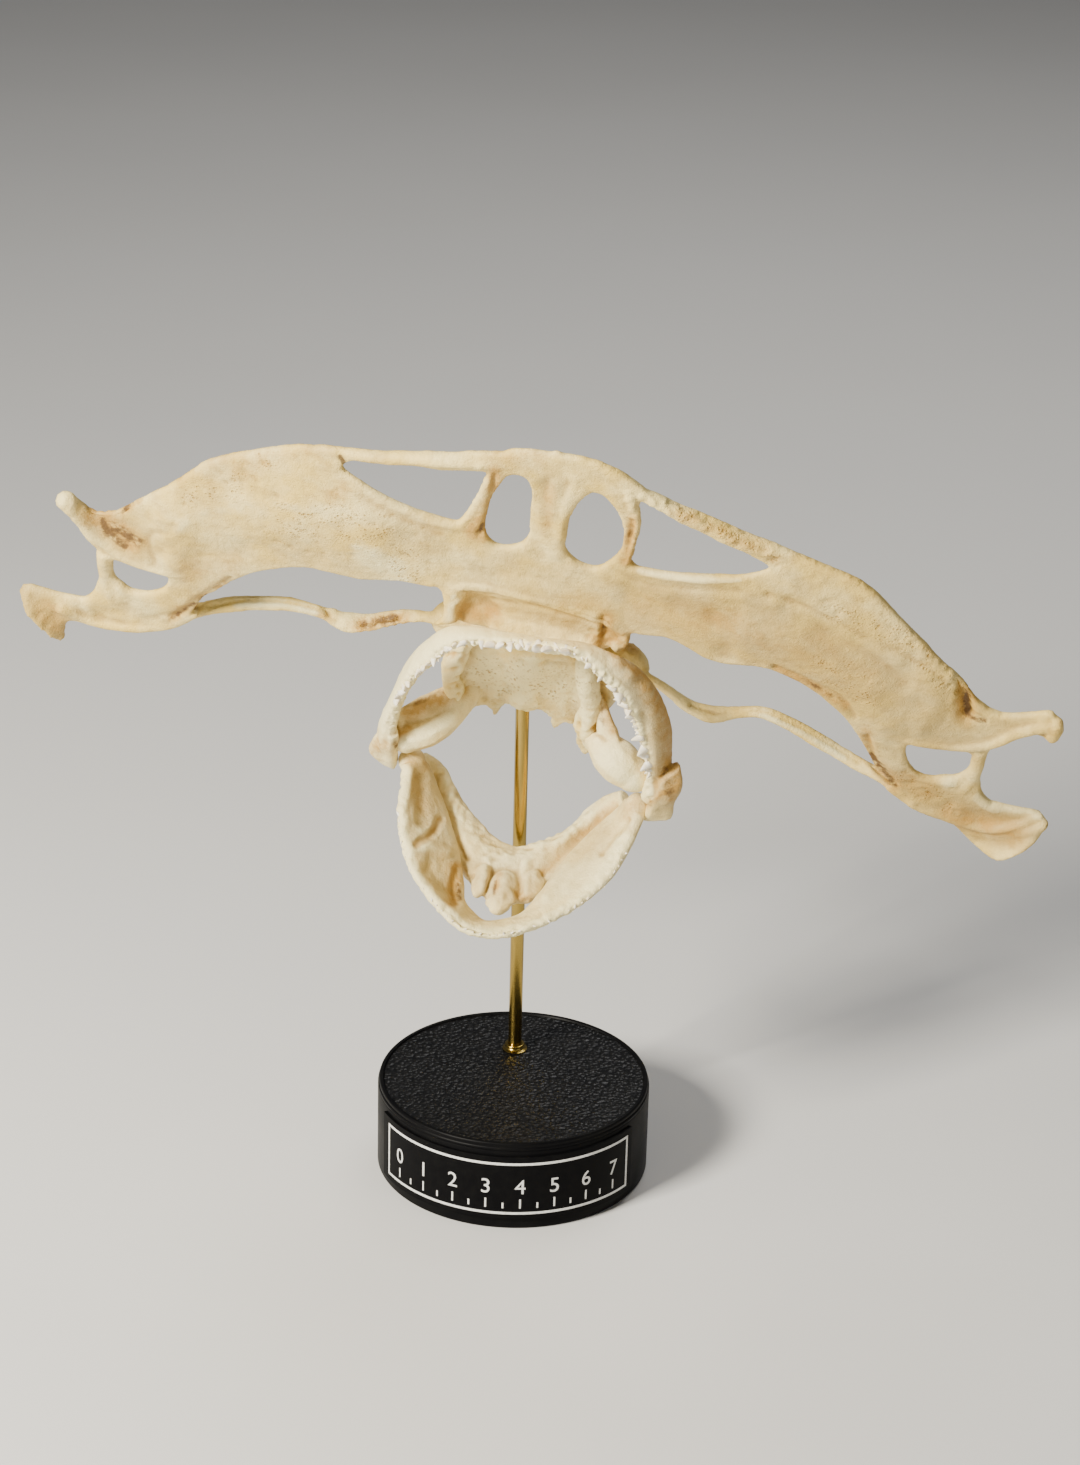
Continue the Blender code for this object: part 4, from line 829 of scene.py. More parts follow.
# %% Ridges and hollows
# Ridges and hollows: points (u, v, w) along a line, reach, and height, sunk where negative
RELIEF = [
    ([(-100, 4, 3), (-80, 16, 4), (-60, 21, 4), (-45, 20, 3)], 10.0, 1.0),
    ([(-96, -12, 2), (-78, -1, 3), (-60, 3, 3)], 5.0, -0.5),
    ([(-103, 9, 2), (-99, 2, 2), (-98, -8, 2), (-101, -17, 2)], 6.0, 0.9),
    ([(-117, 0, 1), (-112, -8, 1), (-107, -15, 1)], 5.0, -1.3),
    ([(66, 30, 3), (84, 20, 3), (100, 6, 2)], 4.0, -0.8),
    ([(52, 14, 3), (74, 12, 4), (90, 2, 3), (98, -14, 2)], 8.0, 1.2),
    ([(115, 10, 1), (117, 3, 1), (119, -4, 1)], 3.6, -1.4),
    ([(106, 10, 2), (110, 0, 2), (108, -12, 2)], 5.0, 0.9),
    ([(38, 16, 2), (50, 10, 2), (52, 2, 2)], 5.0, -0.9),
    ([(-2, 56, 3), (-3, 40, 3), (0, 28, 3)], 3.0, -0.7), ([(8, 58, 3), (5, 44, 3), (4, 30, 3)], 3.0, 0.5),
    ([(-19, -9, -3), (-15, -9, -3)], 4.0, -1.6), ([(-117, -47, 2), (-128, -52, 2)], 6.0, -0.8),
    ([(112, -51, 2), (123, -56.5, 2), (133, -57, 2), (142, -53, 2), (149, -46.5, 2)], 2.6, 1.0),
    ([(127, -61, 2), (136, -64, 2), (144, -59, 2)], 4.5, -0.9),
    ([(128, -51, 2), (138, -49, 2), (145, -47, 2)], 3.0, -0.7),
    ([(-8, -40, -5), (0, -30, -5), (8, -42, -5)], 8.0, -1.2), ([(0, -52, -6), (0, -36, -5)], 4.0, 1.0),
]


# %% [markdown]
# The fine marks of the photograph's specimen are strokes too. A pocket with brown glue sits at
# the root of each front tip, pores speckle the wings, a crease runs along the right wing, and
# thin webs beside the windows let the light through and look orange.

# %% Folds, rough bands, pores and colours of the cranium
FOLDS = [
    ([(-101, 1), (-103, -5), (-108, -8), (-110, -15), (-108, -22)], 1.5, -0.4),
    ([(-98, 2), (-102, -5), (-106, -12)], 3.0, 0.35), ([(-124, -5), (-120, -11), (-115, -16)], 3.0, -1.3),
    ([(-116, -1), (-114, 3), (-111, 7)], 1.3, -0.8), ([(-56, 47), (-54, 42)], 1.4, -0.7),
    ([(60, 28), (71, 26), (81, 22), (89, 18), (98, 15), (109, 10), (115, 4)], 1.5, -0.5),
    ([(62, 25), (72, 23), (85, 17), (97, 12)], 3.0, 0.45),
    ([(103, 16), (109, 12), (113, 7), (115, 0)], 2.0, 0.5), ([(116, 7), (117, 3), (119, -4)], 2.4, -1.4),
    ([(118, -5), (124, -6)], 1.6, -0.9), ([(66, -4), (76, -7), (85, -11), (90, -18)], 1.6, -1.0),
    ([(95, -27), (99, -39), (106, -47)], 1.6, -1.4),
    ([(-86, -22), (-93, -32), (-97, -38), (-103, -47)], 1.6, -1.3),
    ([(-96, -40), (-105, -47), (-113, -52)], 1.4, -0.5),
    ([(112, -51), (122, -57), (131, -59), (140, -55), (147, -46)], 1.4, 0.6),
    ([(114, -54), (124, -60), (133, -61), (142, -57), (148, -49)], 1.4, -0.6),
    ([(-15, 52), (-15, 42), (-16, 32), (-17.5, 26)], 1.5, -1.0),
    ([(-19, 55), (-22, 40), (-27, 31)], 1.0, 0.4), ([(22, 46), (22, 40), (22, 34)], 1.2, -1.1),
    ([(20, 55), (22, 52)], 1.4, 0.6), ([(-20, -12), (-16, -8), (-12, -8)], 3.6, -1.6),
    ([(-12, -3), (0, -1), (13, -1), (18, -2)], 1.4, -0.8), ([(18, 0), (19, -6)], 2.0, -1.5),
    ([(48, 13), (52, 15)], 5.0, -0.8), ([(76, 13), (80, 9)], 7.0, -0.5), ([(86, 5), (90, 3)], 5.0, -0.6),
    ([(24, 14), (34, 12)], 5.0, -0.7), ([(17, 24), (23, 22), (28, 20), (40, 23), (53, 27)], 1.6, -0.35),
    ([(-50, 30), (-40, 25), (-28, 22)], 1.8, -0.3), ([(-1, 55), (-1, 45), (0, 36)], 2.4, -0.7),
    ([(6, 58), (4, 45), (4, 34)], 2.0, 0.5), ([(-3, -30), (4, -29), (10, -26)], 1.2, -0.6),
    ([(-18, -35), (-14, -39), (-12, -51)], 2.4, -0.5), ([(-14, -31), (-9, -36), (-8, -48)], 2.2, 0.4),
    ([(13, -34), (13, -46), (15, -54)], 2.6, -0.9), ([(-2, -50), (-3, -34)], 2.6, 0.6),
    ([(-60, -26.3), (-70, -26.3), (-81, -29.8), (-92, -37)], 1.0, -0.6),
    ([(-58.5, -24), (-57, -28)], 1.6, -1.4), ([(-24, -25), (-17, -28)], 1.4, -0.9),
    ([(-24, -33), (-17, -31)], 1.2, -0.8), ([(-49, -28), (-44, -25), (-38, -20)], 1.8, -0.9),
    ([(62, -28.2), (67, -26), (77, -29.4), (87, -35), (95, -40)], 1.0, -0.6),
    ([(46, -31), (53, -32), (58, -29)], 1.2, -0.7), ([(-118, -36), (-119, -44), (-128, -50)], 3.4, 0.8),
    ([(118, -36), (124, -44), (134, -47)], 3.4, 0.8), ([(108, -40), (114, -46), (122, -51)], 1.8, -0.6),
]
ROUGH_BANDS = [
    ([(-19, -21), (-21, -30), (-20, -45), (-18, -60)], 5.5, 1.0, 1.8),
    ([(17, -28), (18, -44), (20, -64)], 5.0, 0.7, 2.9), ([(-18, -56), (0, -52), (20, -58)], 5.0, 0.6, 1.5),
    ([(22, 57), (44, 51), (60, 45)], 3.5, 0.6, 1.6), ([(20, 57), (22, 50), (22, 30)], 3.0, 0.55, 1.4),
    ([(-17, 56), (-21, 38)], 2.6, 0.3, 1.6), ([(102, 17), (112, 8), (116, 0)], 4.0, 0.45, 1.3),
    ([(-124, 2), (-116, -14)], 5.0, 0.5, 1.4), ([(-37, -22), (-48, -30), (-56, -28)], 4.5, 0.6, 1.7),
    ([(-137, 0), (-130, -5)], 6.0, 0.35, 1.8), ([(138, -3), (144, 2)], 6.0, 0.4, 1.8),
    ([(-148, -50), (-138, -66)], 7.0, 0.4, 2.2), ([(112, -46), (122, -50)], 5.0, 0.35, 1.8),
    ([(-24, -8), (-18, -4)], 5.0, 0.5, 1.6), ([(16, -6), (27, -9)], 5.0, 0.6, 1.5),
]
PORES = [
    ([(-82, 29), (-75, 38)], 5.0, 10, 1.3, 0.4),
    ([(-70, 11), (-54, 17), (-40, 12), (-37, 1)], 9.0, 34, 1.2, 0.3),
    ([(30, 56), (60, 45)], 3.0, 20, 1.3, 0.45), ([(78, 27), (99, 21), (112, 6)], 5.0, 30, 1.2, 0.3),
    ([(-95, 14), (-83, 24)], 6.0, 10, 1.1, 0.3), ([(80, 2), (92, -6)], 7.0, 10, 1.1, 0.25),
    ([(-12, -38), (12, -38)], 12.0, 20, 1.4, 0.35), ([(108, -43), (122, -50)], 4.0, 12, 1.3, 0.35),
    ([(-49, -29), (-38, -21)], 3.0, 14, 1.2, 0.4),
]
CRANIUM_MARKS = {
    "pores": [(line, spread, 1.0) for line, spread, count, radius, depth in PORES],
    "stain": [
        ([(-124, -6), (-119, -9), (-114, -15)], 6.0, 1.0), ([(-116, -1), (-111, 7)], 2.2, 0.8),
        ([(-15, 54), (-15, 42), (-17, 26)], 4.2, 1.0), ([(-28, 23), (-40, 26), (-50, 31)], 3.4, 0.25),
        ([(22, 46), (22, 38), (22, 30)], 3.4, 1.0), ([(-19, -12), (-12, -9)], 5.5, 0.9),
        ([(19, 0), (19, -8)], 5.0, 1.0), ([(18, -10), (22, -7), (27, -9)], 5.0, 0.9),
        ([(117, 5), (119, -5)], 5.5, 0.9), ([(67, -4.5), (77, -8), (87, -14)], 2.4, 1.0),
        ([(94, -25), (97, -35), (106, -47)], 4.0, 0.8), ([(-98, -22), (-84, -13)], 6.0, 0.4),
        ([(-49, -30), (-37, -21)], 4.4, 1.0), ([(-87, -23), (-103, -47)], 3.4, 0.7),
        ([(-141, -58), (-137, -67)], 6.0, 0.5), ([(106, -42), (116, -47)], 5.0, 0.5),
        ([(32, 55), (60, 45)], 3.5, 0.55), ([(19, -30), (21, -56)], 4.5, 0.8),
        ([(-22, -32), (-22, -48)], 4.0, 0.5), ([(46, 13), (52, 13)], 6.0, 0.55),
        ([(8, 4), (16, 7)], 6.0, 0.45), ([(74, 13), (80, 11)], 8.0, 0.3), ([(142, -6), (145, 4)], 4.0, 0.4),
        ([(-82, 30), (-76, 37)], 6.0, 0.5), ([(-57, 28), (-55, 32)], 4.5, 0.6),
        ([(-16, 60), (-4, 64)], 5.0, 0.4), ([(0, 52), (0, 38)], 3.0, 0.5),
        ([(-18, -35), (-13, -45)], 4.0, 0.6), ([(-60, 46), (-88, 34), (-100, 20)], 5.0, 0.3),
        ([(50, 52), (86, 42), (108, 18)], 5.0, 0.3), ([(-17.5, 33), (-19, 27)], 4.6, 1.0),
        # The first stroke here, broad over the right wing, is painted shade.
        ([(30, 10), (56, 8), (90, 0)], 12.0, 0.3), ([(-57, -30), (-64, -28)], 2.0, 0.6),
        ([(124, -56), (142, -58)], 6.0, 0.7),
    ],
    # Painted shade: broad strokes darken the right wing, the hollows, the pockets and the feet as if they lay
    # in shadow.
    "shade": [
        ([(28, 12), (60, 10), (95, 0), (112, -14)], 24.0, 0.75), ([(38, 16), (52, 11)], 8.0, 1.0),
        ([(74, 14), (82, 8)], 8.0, 1.0), ([(110, -46), (124, -52), (144, -54)], 11.0, 1.0),
        ([(-14, 8), (16, 8)], 13.0, 0.35), ([(-21, -11), (-13, -9)], 6.0, 0.9),
        ([(-1, 58), (-1, 36)], 4.0, 0.6), ([(-94, 12), (-86, 30)], 9.0, 0.35),
        ([(-124, -2), (-112, -14)], 9.0, 0.6), ([(-102, -10), (-98, -24)], 8.0, 0.4),
        ([(-70, 0), (-40, -6)], 7.0, 0.4), ([(-45, 18), (-30, 14)], 7.0, 0.4),
        ([(-148, -52), (-138, -66)], 9.0, 0.8), ([(-12, -4), (16, -4)], 2.5, 0.8),
        ([(-20, -22), (-18, -50)], 5.0, 0.6), ([(8, -26), (14, -50)], 5.0, 0.6),
        ([(20, 30), (26, 24)], 6.0, 0.5), ([(18, 18), (56, 22)], 3.0, 0.8),
        ([(112, -2), (120, -12)], 7.0, 0.6), ([(124, -8), (140, -2)], 4.0, 0.5),
    ],
    "burn": [
        ([(-122, -7), (-121, -12), (-118, -15), (-116, -17)], 1.7, 1.0),
        ([(-116, -1), (-114, 3)], 1.1, 0.8), ([(117, 5), (119, -4)], 2.2, 1.0),
        ([(121, -6), (124, -6)], 1.4, 0.9), ([(74, -6), (86, -12)], 1.2, 0.6),
        ([(97, -34), (106, -47)], 1.4, 0.9), ([(19, -1), (19, -3)], 1.8, 0.8),
        ([(-93, -32), (-103, -47)], 1.1, 0.7), ([(-56, 46), (-54, 42)], 1.2, 0.8),
        ([(22, 44), (22, 40)], 1.0, 0.7), ([(-47, -28), (-39, -22)], 2.4, 0.8),
        ([(-119, -9), (-112, -14)], 2.6, 0.8), ([(-17, 30), (-18, 26)], 1.6, 0.7),
    ],
    "chalk": [
        ([(-98, 4), (-83, 13), (-66, 20), (-54, 23)], 7.0, 0.5), ([(-50, 6), (-38, 1)], 7.0, 0.8),
        ([(26, 26), (39, 27), (52, 31)], 2.0, 0.35), ([(-62, -27.5), (-72, -27.5), (-84, -32)], 2.4, 0.6),
        ([(16, -24), (17, -44), (19, -62)], 3.4, 0.8), ([(-18, -48), (-19, -60)], 3.6, 0.5),
        ([(-3, -34), (-2, -50)], 5.0, 0.5), ([(66, -27.5), (77, -31), (90, -38)], 2.4, 0.5),
        ([(-120, -30), (-118, -50), (-100, -46)], 6.0, 0.2), ([(-18, 8), (18, 6)], 7.0, 0.25),
        ([(120, -40), (136, -47), (147, -46)], 4.0, 0.3), ([(-138, 0), (-128, -4)], 5.0, 0.2),
        # The last, wide stroke on the mouth's roof is painted light: it brightens the roof where the upper
        # jaw shades it.
        ([(-24, -17), (-23, -6)], 2.6, 0.5), ([(-12, -37), (13, -37)], 17.0, 1.0),
    ],
}

# %% Make the cranium
CRANIUM_SKIN = 0.76
CRANIUM_RIPPLE = 0.22
PLATE_SOFTENING = 2
BAR_SOFTENING = 4
PORE_SEED = 11
HOLLOW_ROUNDS = 11
HOLLOW_DEPTH = 0.35


def winged_plate():
    """The wide plate of the hammer with its windows, bent and skinned."""
    outer = smooth_rows(LEFT_TIP + FRONT_EDGE + RIGHT_TIP + BACK_EDGE, 4, closed=True)
    windows = [smooth_rows(window, 4, closed=True) for window in WINDOWS]
    outlines = [inset(outer, PLATE_INSET)] + [inset(window, -PLATE_INSET) for window in windows]
    plate = fuse("plate", [flat_mesh("plate", outlines, PLATE_THICKNESS)], CRANIUM_SKIN, PLATE_SOFTENING)
    positions = positions_of(plate.data)
    set_positions(plate.data, towards_viewer(positions, plate_height(positions)))
    mesh = plate.data.copy()
    bpy.data.objects.remove(plate, do_unlink=True)
    return mesh


def cranium_pieces():
    meshes = [winged_plate()]
    for number, (rows, radii) in enumerate(RIMS):
        meshes.append(tube_mesh(f"rim_{number}", on_plate(rows), radii))
    for number, (middle, sizes) in enumerate(MASSES):
        meshes.append(lump_mesh(f"mass_{number}", middle, sizes))
    floor_edge = smooth_rows(FLOOR_EDGE, 3, closed=True)
    meshes.append(flat_mesh("floor", [floor_edge], FLOOR_THICKNESS, FLOOR_LEVEL))
    meshes.append(blade_mesh("palate", PALATE, fullness=0.6))
    for name, stations in (("left_foot", LEFT_FOOT), ("right_foot", RIGHT_FOOT), ("pillar", PILLAR)):
        rows = [(*on_plate([first, second]), thickness) for first, second, thickness in stations]
        meshes.append(blade_mesh(name, rows, fullness=0.6))
    meshes.append(tube_mesh("left_wall", *LEFT_WALL))
    meshes.append(tube_mesh("right_wall", *RIGHT_WALL))
    meshes.append(strap_mesh("left_bar", LEFT_BAR))
    meshes.append(strap_mesh("right_bar", RIGHT_BAR))
    return meshes


def dress(made, material):
    """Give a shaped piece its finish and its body."""
    made.data.materials.clear()
    made.data.materials.append(material)
    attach(made, BODY)
    return made


def put_in_pose(made, material):
    """Stand a shaped piece of the skull on the rod and dress it."""
    made.data.transform(skull_pose)
    made.data.shade_smooth()
    return dress(made, material)


skull = fuse("skull_cartilage", cranium_pieces(), CRANIUM_SKIN, BAR_SOFTENING)
carve(skull, RELIEF + FOLDS)
keep_largest(skull.data)
ripple(skull, CRANIUM_RIPPLE, ROUGH_BANDS)
pierce(skull, PORES, PORE_SEED)
paint_marks(skull, CRANIUM_MARKS, HOLLOW_ROUNDS, HOLLOW_DEPTH)
put_in_pose(skull, wing_bone)
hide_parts("cranium")
print("cranium has", len(skull.data.polygons), "faces")

# %% [markdown]
# ## The jaws
#
# Each jaw is a bowed blade between an outer edge and a tooth edge. It is lofted whole, with a
# knob at each joint. The tooth band is rough, because that is where the teeth sit in files.

# %% Sizes of the jaws
# Upper jaw: outer edge, tooth edge and thickness, from the left joint to the right one
UPPER_JAW = [((-38, -74, 6), (-36, -66, 13), 6.5), ((-39, -68, 4), (-36, -58, 12.5), 5.0),
             ((-37, -58, 4), (-35, -47, 12), 4.2), ((-35, -47, 4), (-33, -37.5, 12), 4.0),
             ((-33, -36, 4), (-29.5, -28.5, 12), 4.0), ((-29, -24, 4.5), (-25, -19.5, 12), 4.0),
             ((-23.5, -14, 5), (-21, -12, 12), 4.0), ((-17, -10.5, 5), (-16, -9, 11), 3.8),
             ((-8, -9.5, 5), (-8, -7, 11), 3.6), ((2, -9.5, 5), (1, -4.5, 11), 3.4),
             ((11, -7.5, 5), (10.5, -2.5, 11), 3.6), ((19, -7, 5), (15.5, -4.5, 11), 4.0),
             ((26, -10, 4), (20.5, -9, 12), 4.4), ((32, -15, 4), (26, -14.5, 12), 4.6),
             ((37, -23, 4), (30, -22.5, 12), 4.8), ((40.5, -33, 4), (34, -33.5, 12), 4.8),
             ((42, -43, 4), (37, -44, 12), 4.8), ((42.5, -53, 4), (39, -55, 12), 5.0),
             ((43, -64, 5), (39, -66, 13), 6.5)]
UPPER_KNOBS = [((-36.5, -69, 10), (3.2, 5.0, 3.8)), ((42.5, -63, 9), (4.4, 6.0, 4.6))]
UPPER_JOINTS = [[((-37.5, -61, 8), (-34.5, -62, 13), 3.6), ((-41, -70, 9), (-34, -71, 12), 4.4),
                 ((-42, -75.5, 9.5), (-33.8, -77.5, 11), 4.2), ((-38.5, -79.4, 10), (-33.8, -81, 10.5), 3.2)],
                [((46, -50, 7), (41.5, -54, 12), 3.4), ((48, -56.5, 9), (41, -60, 12), 4.6),
                 ((46.8, -64, 9.5), (40, -68, 12), 4.6), ((47.2, -72.8, 10), (38.5, -76, 11), 4.2)]]

# Lower jaw: tooth rim, inner edge and thickness, from the left joint to the right one
LOWER_JAW = [((-31.5, -75, 13), (-25.5, -80, 8), 5.0), ((-30, -75, 21), (-20, -85, 14), 4.6),
             ((-28.8, -75, 28.5), (-14, -87, 23), 4.4), ((-26, -76, 37), (-9, -87, 33), 4.4),
             ((-21, -77, 45), (-6.3, -87, 40), 4.4), ((-15.3, -77, 50.8), (-4.6, -87, 46), 4.2),
             ((-8.7, -77, 56.2), (0, -87, 50), 4.0), ((-2, -77, 59.6), (3.5, -87, 51), 3.8),
             ((5.5, -77, 59.6), (8, -87, 49), 3.8), ((12.3, -77, 56.8), (12.5, -87, 45.5), 4.0),
             ((19, -77, 52), (15.4, -87, 38.5), 4.2), ((25.2, -77, 46.3), (18, -87, 30), 4.4),
             ((30.8, -76, 39.8), (21, -87, 22), 4.4), ((35, -75, 32.2), (26, -86, 13), 4.6),
             ((37, -74, 24), (31, -83, 7), 4.8), ((38.5, -71, 14), (34, -76, 6), 5.0)]
LOWER_KNOBS = [((-29.5, -77.5, 9.5), (4.0, 3.2, 4.2)), ((36.5, -73, 10), (3.4, 3.2, 4.2))]

# %% Make the jaws
JAW_SKIN = 0.45
JAW_SOFTENING = 3
JAW_RIPPLE = 0.2
JAW_HOLLOW_ROUNDS = 16
JAW_HOLLOW_DEPTH = 0.3
UPPER_TOOTH_LINE = [(-36, -58, 12), (-32, -36, 12), (-21, -12, 12), (-8, -7, 11), (1, -4.5, 11),
                    (15.5, -4.5, 11), (26, -14.5, 12), (34, -33.5, 12), (39, -62, 12)]
UPPER_FOLDS = [
    ([(34, -18, 6), (38, -34, 6), (40, -52, 6)], 3.4, 0.7),
    ([(34, -26, 10), (37, -44, 10), (40, -58, 11)], 2.2, -0.6),
    ([(-30, -26, 7), (-34, -42, 7), (-37, -58, 7)], 3.0, 0.5),
    ([(-20, -13, 10), (-8, -9, 9), (4, -7, 9), (16, -6, 9)], 1.6, -0.5),
    ([(24, -11, 5), (28, -14, 6)], 3.0, 1.0), ([(-39, -66, 9), (-38, -74, 11)], 2.4, -0.4),
    ([(41, -60, 9), (44, -70, 11)], 2.2, -0.3),
]
UPPER_BANDS = [
    (UPPER_TOOTH_LINE, 3.2, 0.75, 1.3), ([(-38, -70, 9), (-40, -75, 10)], 6.0, 0.3, 2.4),
    ([(42, -64, 8), (45, -72, 10)], 6.0, 0.25, 2.4),
]
UPPER_MARKS = {
    "stain": [
        # The first stroke, along the right flank, is partly stain and partly painted shade.
        ([(34, -15, 4), (41, -30, 4), (45, -50, 5), (46, -64, 6)], 9.0, 1.0),
        ([(24, -9, 4), (30, -14, 5)], 5.0, 0.8), ([(-36, -64, 8), (-34, -70, 9)], 3.0, 0.9),
        ([(46, -52, 7), (47, -60, 9)], 6.0, 1.0), ([(-37, -70, 8), (-41, -76, 9)], 6.0, 0.6),
        ([(44, -54, 8), (48, -56, 9)], 5.0, 0.9), ([(38, -72, 10), (46, -60, 9)], 2.4, 0.9),
    ],
    # Painted shade on the right flank.
    "shade": [([(34, -13, 4), (41, -28, 4), (45, -48, 5), (46, -64, 6)], 12.0, 1.0)],
    "burn": [([(42, -60, 4), (45, -67, 7)], 3.0, 0.5), ([(-35, -66, 10), (-34, -72, 10)], 1.6, 0.7)],
    "chalk": [
        ([(-37, -60, 9), (-33, -40, 8), (-24, -18, 8), (-8, -9, 9), (6, -7, 9)], 9.0, 0.85),
        (UPPER_TOOTH_LINE, 3.4, 1.0),
    ],
}
LOWER_TOOTH_LINE = [(-31, -75, 16), (-28.5, -75, 29), (-21, -77, 45), (-9, -77, 56), (1.5, -77, 60),
                    (12, -77, 57), (25, -77, 45.5), (33, -75, 31), (35, -74, 22)]
LOWER_FOLDS = [
    ([(-21.5, -80, 35), (-17.8, -80, 28.8), (-17.3, -80, 25)], 2.0, -0.9),
    ([(-23, -80, 37), (-18, -81, 34), (-13, -82, 34)], 2.4, 0.8),
    ([(-16, -81, 41), (-11, -81, 44), (-7.5, -81, 47)], 4.5, -1.3),
    ([(-9.1, -83, 38), (-7.6, -83, 44.7), (-6.3, -83, 48.5)], 1.8, -0.8),
    ([(-9, -82, 52), (-2, -82, 55.5), (5.5, -82, 55.5), (12, -82, 51.5), (17, -82, 46)], 1.6, -0.6),
    ([(-26, -78, 14), (-24, -80, 20), (-22, -81, 26)], 3.0, -0.9),
    ([(-29, -76, 14), (-28, -76, 24), (-26, -77, 33)], 2.0, 0.6),
    ([(30, -77, 26), (25, -80, 36), (19, -81, 44), (12, -81, 50)], 3.0, -0.6),
    ([(35, -76, 13), (32.6, -78, 18), (29.5, -79, 24)], 1.5, -0.8),
    ([(22, -84, 24), (19, -86, 31), (17, -86, 38)], 2.2, 0.7),
    ([(-3, -82, 54), (4, -82, 55), (11, -82, 52)], 2.5, -0.9),
]
LOWER_BANDS = [
    (LOWER_TOOTH_LINE, 3.0, 0.6, 1.9), ([(-26, -80, 24), (-16, -82, 38)], 7.0, 0.3, 3.0),
]
LOWER_MARKS = {
    "stain": [
        ([(-21.5, -81, 35), (-17, -81, 25)], 2.6, 0.5), ([(-9.5, -83, 38), (-7.5, -83, 48)], 3.6, 1.0),
        ([(-27, -78, 15), (-23, -81, 22)], 4.0, 0.3), ([(36, -73, 8), (34, -75, 12)], 4.0, 0.6),
        ([(-30, -76, 10), (-26, -80, 8)], 4.0, 0.45),
    ],
    # Painted shade on both arms of the lower jaw.
    "shade": [
        ([(-26, -78, 14), (-20, -81, 32), (-12, -83, 42)], 10.0, 0.8),
        ([(30, -80, 18), (18, -84, 36)], 6.0, 0.5),
    ],
    "burn": [([(-7.5, -83, 43), (-6, -83, 47)], 1.6, 0.6)],
    "chalk": [
        (LOWER_TOOTH_LINE, 4.0, 1.0), ([(28, -80, 28), (18, -83, 42)], 9.0, 0.6),
        ([(-24, -79, 28), (-14, -82, 42)], 8.0, 0.45),
    ],
}


def make_jaw(name, stations, knobs, joints, folds, bands, marks):
    """A whole jaw arch with its rough tooth band."""
    meshes = [blade_mesh(name, stations)]
    for number, joint in enumerate(joints):
        meshes.append(blade_mesh(f"{name}_joint_{number}", joint, fullness=0.5))
    for number, (middle, sizes) in enumerate(knobs):
        meshes.append(lump_mesh(f"{name}_knob_{number}", middle, sizes))
    jaw = fuse(name, meshes, JAW_SKIN, JAW_SOFTENING)
    carve(jaw, folds)
    keep_largest(jaw.data)
    ripple(jaw, JAW_RIPPLE, bands)
    paint_marks(jaw, marks, JAW_HOLLOW_ROUNDS, JAW_HOLLOW_DEPTH)
    put_in_pose(jaw, jaw_bone)
    print(name, "has", len(jaw.data.polygons), "faces")
    return jaw


upper_jaw = make_jaw("upper_jaw_arch", UPPER_JAW, UPPER_KNOBS, UPPER_JOINTS, UPPER_FOLDS, UPPER_BANDS,
                     UPPER_MARKS)
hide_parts("upper_jaw_left", "upper_jaw_right")
lower_jaw = make_jaw("lower_jaw_arch", LOWER_JAW, LOWER_KNOBS, [], LOWER_FOLDS, LOWER_BANDS, LOWER_MARKS)
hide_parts("lower_jaw_left", "lower_jaw_right")

# %% [markdown]
# ## Tongue arch and jaw supports
#
# Behind the lower jaw a V-shaped arch carried the tongue. Two short bars hold the jaw joints out
# from the braincase, with thin orange webs above them.

# %% Sizes of the arch and the supports
# Tongue arch: edge towards the throat, edge on the lower jaw and thickness
TONGUE_ARCH = [((-27, -82, 3), (-31, -83, 10), 4.2), ((-21.5, -87, 3), (-25, -87, 15), 4.8),
               ((-16, -91, 8), (-19, -88.5, 23), 5.2), ((-11, -92, 13), (-12.5, -89, 30), 5.2),
               ((-5, -93, 17), (-6.2, -89, 36.5), 5.4), ((0, -93, 20), (-0.5, -89, 41), 5.6),
               ((5, -93, 21), (4, -89, 42.5), 5.8), ((10, -93, 18), (9, -89, 41), 5.6),
               ((15, -92, 15), (14.5, -89, 38), 5.4), ((19, -91, 11), (19, -89, 28), 5.2),
               ((22, -90, 5), (25.5, -89, 19), 5.0), ((27, -86, 1), (30, -86, 10), 4.4),
               ((31.5, -81, 1), (34, -80, 7), 3.8)]
TONGUE_LOBES = [((-1.9, -88, 37), (2.5, 2.8, 5.3)), ((4.8, -88, 39.2), (4.4, 3.2, 7.4)),
                ((13, -88, 34.2), (3.4, 2.6, 4.7))]

# Jaw supports from the ear regions to the jaw joints, and the thin flanges above them
LEFT_SUPPORT = [((-17, -60, -8), 3.6), ((-21, -63, 0), 4.2), ((-26, -66, 5), 4.8), ((-32, -69, 7), 4.8)]
RIGHT_SUPPORT = [((18, -60, -8), 3.2), ((22, -60, -1), 4.2), ((28, -59.5, 4.5), 6.4), ((34, -62, 6.5), 5.4)]
LEFT_FLANGE = [((-21.5, -55, -6), (-20, -60, 0), 2.6), ((-27, -56, -2), (-26, -63, 5), 2.6),
               ((-33, -59.5, 2), (-32, -67, 7), 2.8), ((-36, -61, 5), (-34, -69, 9), 2.6)]
RIGHT_FLANGE = [((18.8, -42, -6), (22, -58, 0), 2.6), ((22.6, -45.5, -3), (26, -57, 3), 2.6),
                ((26.6, -51, 0), (30, -58, 4), 2.6)]

